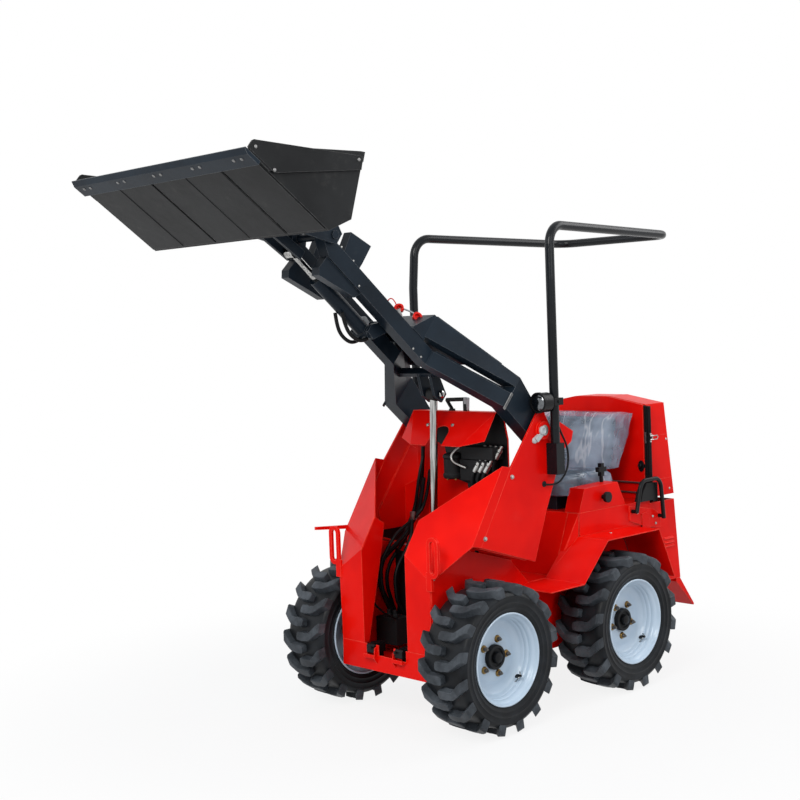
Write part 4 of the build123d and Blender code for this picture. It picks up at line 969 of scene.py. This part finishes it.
hood_side = layout_box("hood")[1].y
for z in (981, 790):
    folds.weld([Vector((x, hood_side - 0.6, z)) for x in (-764, hood_rear(z) + 3)], 1.3)
folds.mirrored().piece("hood_folds", red_enamel, "hood", smooth=60)
for x, z in ((-776, 1090), (-776, 860), (-776, 740), (-920, 742), (-905, 960)):
    screws.screw((x, hood_side, z), (0, 1, 0), 5, 2.6)
screws.mirrored().piece("hood_screws", zinc, "hood")

# %% [markdown]
# The louvre blades are pressed out of the same sheet: each is a short lip leaning over its slot. A folded
# bracket is screwed to the left fender over a thin plate, and two rails show behind the seat.

# %% Louvres, rear screws, bracket and seat rails
blades, screws, tabs, rails = (Form() for _ in range(4))
for z in (525, 508, 491):
    blades.slab([(276, z + 5), (283, z - 1), (283, z - 3), (276, z + 3)], -936, -868, "x")
blades.mirrored().piece("louvre_blades", red_enamel, bevel=0.6)
for x, z in ((-643, 670), (-749, 642), (-770, 610)):
    screws.bolt((x, 305, z), (0, 1, 0), 9, 3.5)
screws.screw((-397, 350, 620), (0, 0, 1), 5, 3)
screws.mirrored().piece("fender_screws", zinc)
tabs.slab([(-668, 662), (-700, 668), (-722, 650), (-726, 592), (-676, 592)], 305, 308)
tabs.slab([(-664, 655), (-670, 655), (-670, 628), (-664, 628)], 305, 306.2)
tabs.slab([(-560, 624), (-560, 650), (-680, 664), (-676, 600), (-606, 614)], 296.5, 298.5)
tabs.piece("bracket_tab", red_enamel, bevel=1.2)
for inner, z in ((90, 783), (150, 740)):
    rails.tube([(-736, inner, z), (-736, 268, z)], 4.5)
rails.piece("seat_rails", bare_steel)

# %% [markdown]
# Below the front cover the valve's fittings and hoses crowd together beside the oil filter, and drop into the
# slot between the columns. Hoses leave each spool aslant and then swing towards the pump, so their routes
# repeat with a different swing. In the slot they run down to the blocks of the drive motors.

# %% Valve fittings and the hose bundle
fittings, bolts, manifold = Form(), Form(), Form()
LEAN = Vector((0.35, -0.42, -1)).normalized()
ROWS = ((128, 1002), (158, 950))
SPOOLS = [(row, k, Vector((x, 150 + 28 * k, z))) for row, (x, z) in enumerate(ROWS) for k in range(4 - row)]
SPOOL_NUT = [(7, -14), (7, 0), (12, 0), (12, 10), (9, 12), (11, 14), (11, 40), (9, 42)]
for row, k, top in SPOOLS:
    fittings.turned(SPOOL_NUT, top, LEAN, 20)
fittings.turned([(9, -6), (9, 12), (12, 12), (12, 26)], (204, -186, 716), (-0.1, 0, 1), 6)
fittings.turned([(9, 0), (9, 14), (12, 14), (12, 26)], (172, -208, 705), (-0.8, 0, 0.6), 6)
fittings.piece("hose_fittings", zinc, smooth=30)
CAN = [(30, 880), (40, 884), (42, 892), (42, 900), (38, 904), (38, 960), (42, 964), (40, 976), (24, 984)]
canister = Form().turned(CAN, (148, 0, 0), (0, 0, 1), 48)
canister.box((101, -30, 890), (130, 30, 972)).box((101, 60, 962), (166, 226, 1012))
canister.piece("oil_filter", raw_iron, bevel=2)
for k in range(6):
    bolts.turned([(4.5, -2), (4.5, 5), (2.5, 7)], (148 + 34 * math.cos(k), 34 * math.sin(k), 884), (0, 0, -1), 6)
bolts.piece("filter_bolts", yellow_zinc)
RETURN_PIPE = [(170, 54, 1008), (188, 34, 988), (192, 30, 962), (190, 54, 944), (176, 96, 930)]
hose("return_pipe", RETURN_PIPE, 5, finish=zinc)

VALVE_X, WEB_X = 134, 128.3
VALVE_HOSES = (  # y at the valve, y at the web, swing, z at the web
    (76, 60, 60, 430), (124, 84, 90, 400), (172, 108, 40, 440),
)
for number, (valve_y, web_y, swing, web_z) in enumerate(VALVE_HOSES):
    out = VALVE_X + swing
    run = [(VALVE_X, valve_y, 852), (VALVE_X, valve_y, 770), (out, (valve_y + web_y) / 2, 640)]
    run += [(out, web_y, web_z + 30), (VALVE_X + swing * 0.6, web_y, web_z), (WEB_X, web_y, web_z)]
    made = hose("valve_hose_%d" % (number + 1), run, 8.5)
    if number == 0:
        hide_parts("hoses")
for row, k, top in SPOOLS:
    start = top + LEAN * 40
    bow = start + LEAN * 60 + Vector((-24, 16, -30))
    run = [start, start + LEAN * 30, bow, (124 + 8 * row, 92 + 22 * k, 760), (134, 70 + 20 * k, 660)]
    hose("spool_hose_%d_%d" % (row + 1, k + 1), run, 8)

SLOT_HOSES = (  # y, radius, then (x, z) along the run
    (-150, 8, (166, 876), (194, 770), (225, 717), (248, 700), (291, 654), (356, 617), (398, 598), (419, 581),
     (424, 550), (440, 499), (432, 458), (414, 420), (390, 371), (360, 320)),
    (-135, 7, (146, 907), (175, 769), (253, 716), (332, 680), (369, 656), (412, 606), (437, 573), (444, 523),
     (439, 468), (423, 410), (370, 330)),
    (-167, 7, (150, 960), (180, 876), (208, 758), (262, 677), (292, 632), (365, 592), (404, 561), (418, 500),
     (400, 420), (330, 330)),
    (-128, 8, (266, 728), (272, 690), (278, 642), (316, 588), (353, 549), (375, 502), (372, 440), (366, 394),
     (330, 340)),
    (-128, 4, (497, 443), (462, 402), (423, 372), (349, 331), (300, 322)),
    (-184, 8, (132, 1000), (140, 900), (160, 780), (214, 690), (276, 610), (340, 560), (372, 500), (360, 420),
     (320, 330)),
)
SLOT_TOP, SLOT_RAMP, CABLE = 860, 120, 4
SET_BACK = Vector((-62.64, -58, -5.8))


def into_slot(x, y, z, radius):
    """Sets a hose back and to the right of the lowered arm, fully so a ramp below the slot's top; a cable stays."""
    share = 0 if radius == CABLE else min(max((SLOT_TOP - z) / SLOT_RAMP, 0), 1)
    return Vector((x, y, z)) + SET_BACK * share


for number, (y, radius, *run) in enumerate(SLOT_HOSES):
    hose("slot_hose_%d" % (number + 1), [into_slot(x, y, z, radius) for x, z in run], radius)
manifold.box((128.6, -210, 230), (176, -124, 420)).box((128.6, 124, 230), (176, 210, 420))
for y in (-190, -167, -144):
    for z in (380, 300):
        manifold.turned([(11, 0), (11, 12), (8, 14), (8, 26)], (176, y, z), (1, 0, 0), 6)
manifold.box((296, -240, 236), (372, -124, 342))
for x, y in ((350, -150), (350, -186), (322, -205)):
    manifold.turned([(12, 0), (12, 12), (9, 14), (9, 30)], (x, y, 342), (0.1, 0, 1), 6)
manifold.piece("drive_manifold", raw_iron, bevel=2)

# %% [markdown]
# The front cover is one folded sheet held by two bolts: a leaning panel with an arch cut out for the filter, and
# a wing turned back at each side. Black sheets are painted shade where the view falls into shadow: behind the
# cover, in the right front wheel arch and in the slot. Gussets tie the deck to the fenders, and the crossbar
# carries two bumpers of black rubber that the lowered arm rests on.

# %% Cover, painted shade sheets, gussets and bumpers
LEANING = Vector((127, 0, 114)).normalized()
LOWER_EDGE = 1020


def on_cover(y, z):
    """A point on the cover's leaning front, which runs back from its lower edge."""
    return Vector((251 - (z - LOWER_EDGE) * 114 / 127, y, z))


sheet, front, shade_sheets, gussets, grip = (Form() for _ in range(5))
arch = [on_cover(-7 + 43 * math.cos(math.pi * k / 12), 1066 + 26 * math.sin(math.pi * k / 12)) for k in range(13)]
corners = [on_cover(y, z) for y, z in ((-227, 1147), (227, 1147), (134, LOWER_EDGE), (36, LOWER_EDGE))]
panel = corners + arch + [on_cover(-50, LOWER_EDGE), on_cover(-134, LOWER_EDGE)]
sheet.skin([panel, [corner - LEANING * 3 for corner in panel]])
for side in (1, -1):
    wing = [on_cover(side * 134, LOWER_EDGE), Vector((208, side * 227, 1040)), on_cover(side * 227, 1147)]
    inward = Vector((-2.2, -side * 1.4, -1.4))
    sheet.skin([wing, [corner + inward for corner in wing]])
sheet.box((101, -227, 1143), (138, 227, 1147))
sheet.piece("cover_sheet", red_enamel, smooth=20, replaces=("front_cover",))
for y, z in ((38, 1095), (-98, 1093)):
    front.bolt(on_cover(y, z), LEANING, 12, 4.5)
front.piece("cover_bolts", zinc, smooth=30)

# Black sheets of painted shade: behind the cover, in the right front wheel arch and in the slot.
SHADE_OUTLINE = [(-224, 1141), (224, 1141), (248, 1038), (248, 864), (200, 836), (60, 852), (-60, 880), (-90, 1000)]
SHADE_OUTLINE += [(-224, 1060)]
shade_sheets.slab(SHADE_OUTLINE, 100.4, 102.4, "x")
shade_sheets.slab([(100, 572), (340, 572), (340, 660), (100, 660)], -333, -330)
shade_sheets.slab([(-240, 330), (-120, 330), (-120, 560), (-240, 600)], 252, 255, "x")
shade_sheets.piece("painted_shade_sheets", black_plastic)
deck_corner, post_foot = Vector((-255, 300, 712)), Vector((-168, 252, 478))
front_line = [deck_corner, Vector((-255, 246, 712)), Vector((-155, 246, 473)), post_foot]
fender_line = [deck_corner, post_foot, Vector((-98, 252, 473)), Vector((-251, 300, 622))]
for plate, thin in ((front_line, Vector((-1.8, 0, -0.8))), (fender_line, Vector((0, -2, 0)))):
    gussets.skin([plate, [corner + thin for corner in plate]])
gussets.mirrored().piece("deck_gussets", red_enamel, smooth=20)
grip.slab([(114, 1149), (110, 1200), (130, 1202), (126, 1149)], 46, 66)
grip.piece("grip_stand", cast_alloy, bevel=3)

bumpers, brackets = Form(), Form()
for side in (1, -1):
    bumpers.slab([(540, 250), (556, 254), (556, 280), (550, 287), (540, 287), (536, 250)], side * 56, side * 98)
    bumpers.turned([(7, 0), (7, 5), (4, 7)], (560, side * 66, 276), (1, 0, 0), 20)
    tray = [(540, 236), (566, 236), (566, 250), (562, 250), (562, 240), (540, 240)]
    brackets.slab(tray, side * 50, side * 106)
    brackets.slab([(540, 204), (564, 236), (558, 274), (540, 284)], side * 49, side * 53)
bumpers.piece("arm_bumpers", soft_rubber, bevel=2)
brackets.piece("bumper_trays", red_enamel, bevel=1)

# %% [markdown]
# The studio is a pale floor that runs into a white world. The floor only has to catch a soft contact shadow, so
# it mixes lit paper with plain white: near the wheels a little of the paper shows, further off none, and no
# horizon is left. Light Path keeps floor and backdrop white for the camera, for gloss and through clear film,
# while the light that falls on the machine stays at a plain level.

# %% Floor and world
bpy.ops.mesh.primitive_plane_add(size=60, location=(0, 0, 0))
floor = bpy.context.object
floor.name = "studio_floor"
paper = Finish("floor_paper")
lit = paper.principled(
    Base_Color=paper.mix(paper.noise(0.7), (0.62, 0.62, 0.62, 1), (0.66, 0.66, 0.66, 1)),
    Roughness=0.9,
    Specular_IOR_Level=0.1,
)
white = paper.node("Emission", {}, {"Color": (1, 1, 1, 1), "Strength": 1.0})
distance = Field(paper, paper.node("VectorMath", {"operation": "LENGTH"}, {0: paper.position}).outputs["Value"])
whiteness = paper.seen_directly() * paper.step(distance, 1.0, 2.4, 0.86, 1.0)
paper.show(paper.node("MixShader", {}, {0: whiteness, 1: lit.outputs[0], 2: white.outputs[0]}))
floor.data.materials.append(paper.material)

studio = bpy.data.worlds.new("studio_world")
bpy.context.scene.world = studio
sky = Tree(studio, "World")
height = sky.node("SeparateXYZ", {}, {0: sky.node("TexCoord").outputs["Generated"]}).outputs["Z"]
daylight = sky.node(
    "Background",
    {},
    {"Color": sky.mix(sky.step(height, -0.5, 0.9), (0.1, 0.1, 0.11, 1), (0.92, 0.97, 1.05, 1)), "Strength": 0.66},
)
backdrop = sky.node("Background", {}, {"Color": (1, 1, 1, 1), "Strength": 1.0})
sky.show(sky.node("MixShader", {}, {0: sky.seen_directly(), 1: daylight.outputs[0], 2: backdrop.outputs[0]}))
print("floor and world ready")

# %% [markdown]
# Four area lamps: a wide key from the front, a cooler fill from the right, a soft one from the left and a
# last one behind that draws a bright line along the tube frame and the tower plates.

# %% Lamps
LAMPS = (  # name, place in metres, target, size, watts, colour
    ("key", (4.6, 2.2, 4.4), (0.1, 0.0, 0.8), 2.6, 235, (1.0, 0.98, 0.95)),
    ("fill", (4.4, -3.4, 3.0), (0.2, 0.0, 0.9), 3.0, 45, (0.93, 0.96, 1.0)),
    ("side", (0.4, 4.6, 3.2), (-0.1, 0.0, 0.8), 2.6, 55, (1.0, 1.0, 1.0)),
    ("rim", (-3.6, 2.0, 3.6), (-0.2, 0.0, 1.0), 2.6, 70, (1.0, 1.0, 1.0)),
)
for name, where, target, size, watts, colour in LAMPS:
    lamp = bpy.data.lights.new(name + "_lamp", "AREA")
    lamp.shape, lamp.size, lamp.energy, lamp.color = "SQUARE", size, watts, colour
    holder = in_scene(name + "_lamp", lamp)
    holder.location = where
    holder.rotation_euler = (Vector(target) - Vector(where)).to_track_quat("-Z", "Y").to_euler()
print("lamps:", [name for name, *_ in LAMPS])

# %% [markdown]
# The camera stands ahead of the machine's left front wheel, a little above the tower plates, and leans by two
# degrees as a hand-held one does. Its direction is built from three angles, and its shift only centres the view.

# %% Camera
CAMERA_PLACE = place(3903.94, 3653.59, 1472.53)
AZIMUTH, PITCH, ROLL = 0.784746, 0.0333264, -0.0345138
ahead = Vector(
    (-math.sin(AZIMUTH) * math.cos(PITCH), -math.cos(AZIMUTH) * math.cos(PITCH), -math.sin(PITCH))
)
level = ahead.cross(Vector((0, 0, 1))).normalized()
upright = level.cross(ahead)
right = level * math.cos(ROLL) + upright * math.sin(ROLL)
up = upright * math.cos(ROLL) - level * math.sin(ROLL)
lens = bpy.data.cameras.new("studio_camera")
lens.sensor_width, lens.lens = 36.0, 59.735
lens.shift_x, lens.shift_y = -0.0389, -0.0328
camera = in_scene("studio_camera", lens)
turn = Matrix((right, up, -ahead)).transposed().to_4x4()
camera.matrix_world = Matrix.Translation(CAMERA_PLACE) @ turn
bpy.context.scene.camera = camera
bpy.context.scene.view_settings.view_transform = "Standard"
print("camera at", [round(c, 2) for c in CAMERA_PLACE])

# %% [markdown]
# The dressed machine has to stay as big as the imported one.

# %% The end
print("the end")
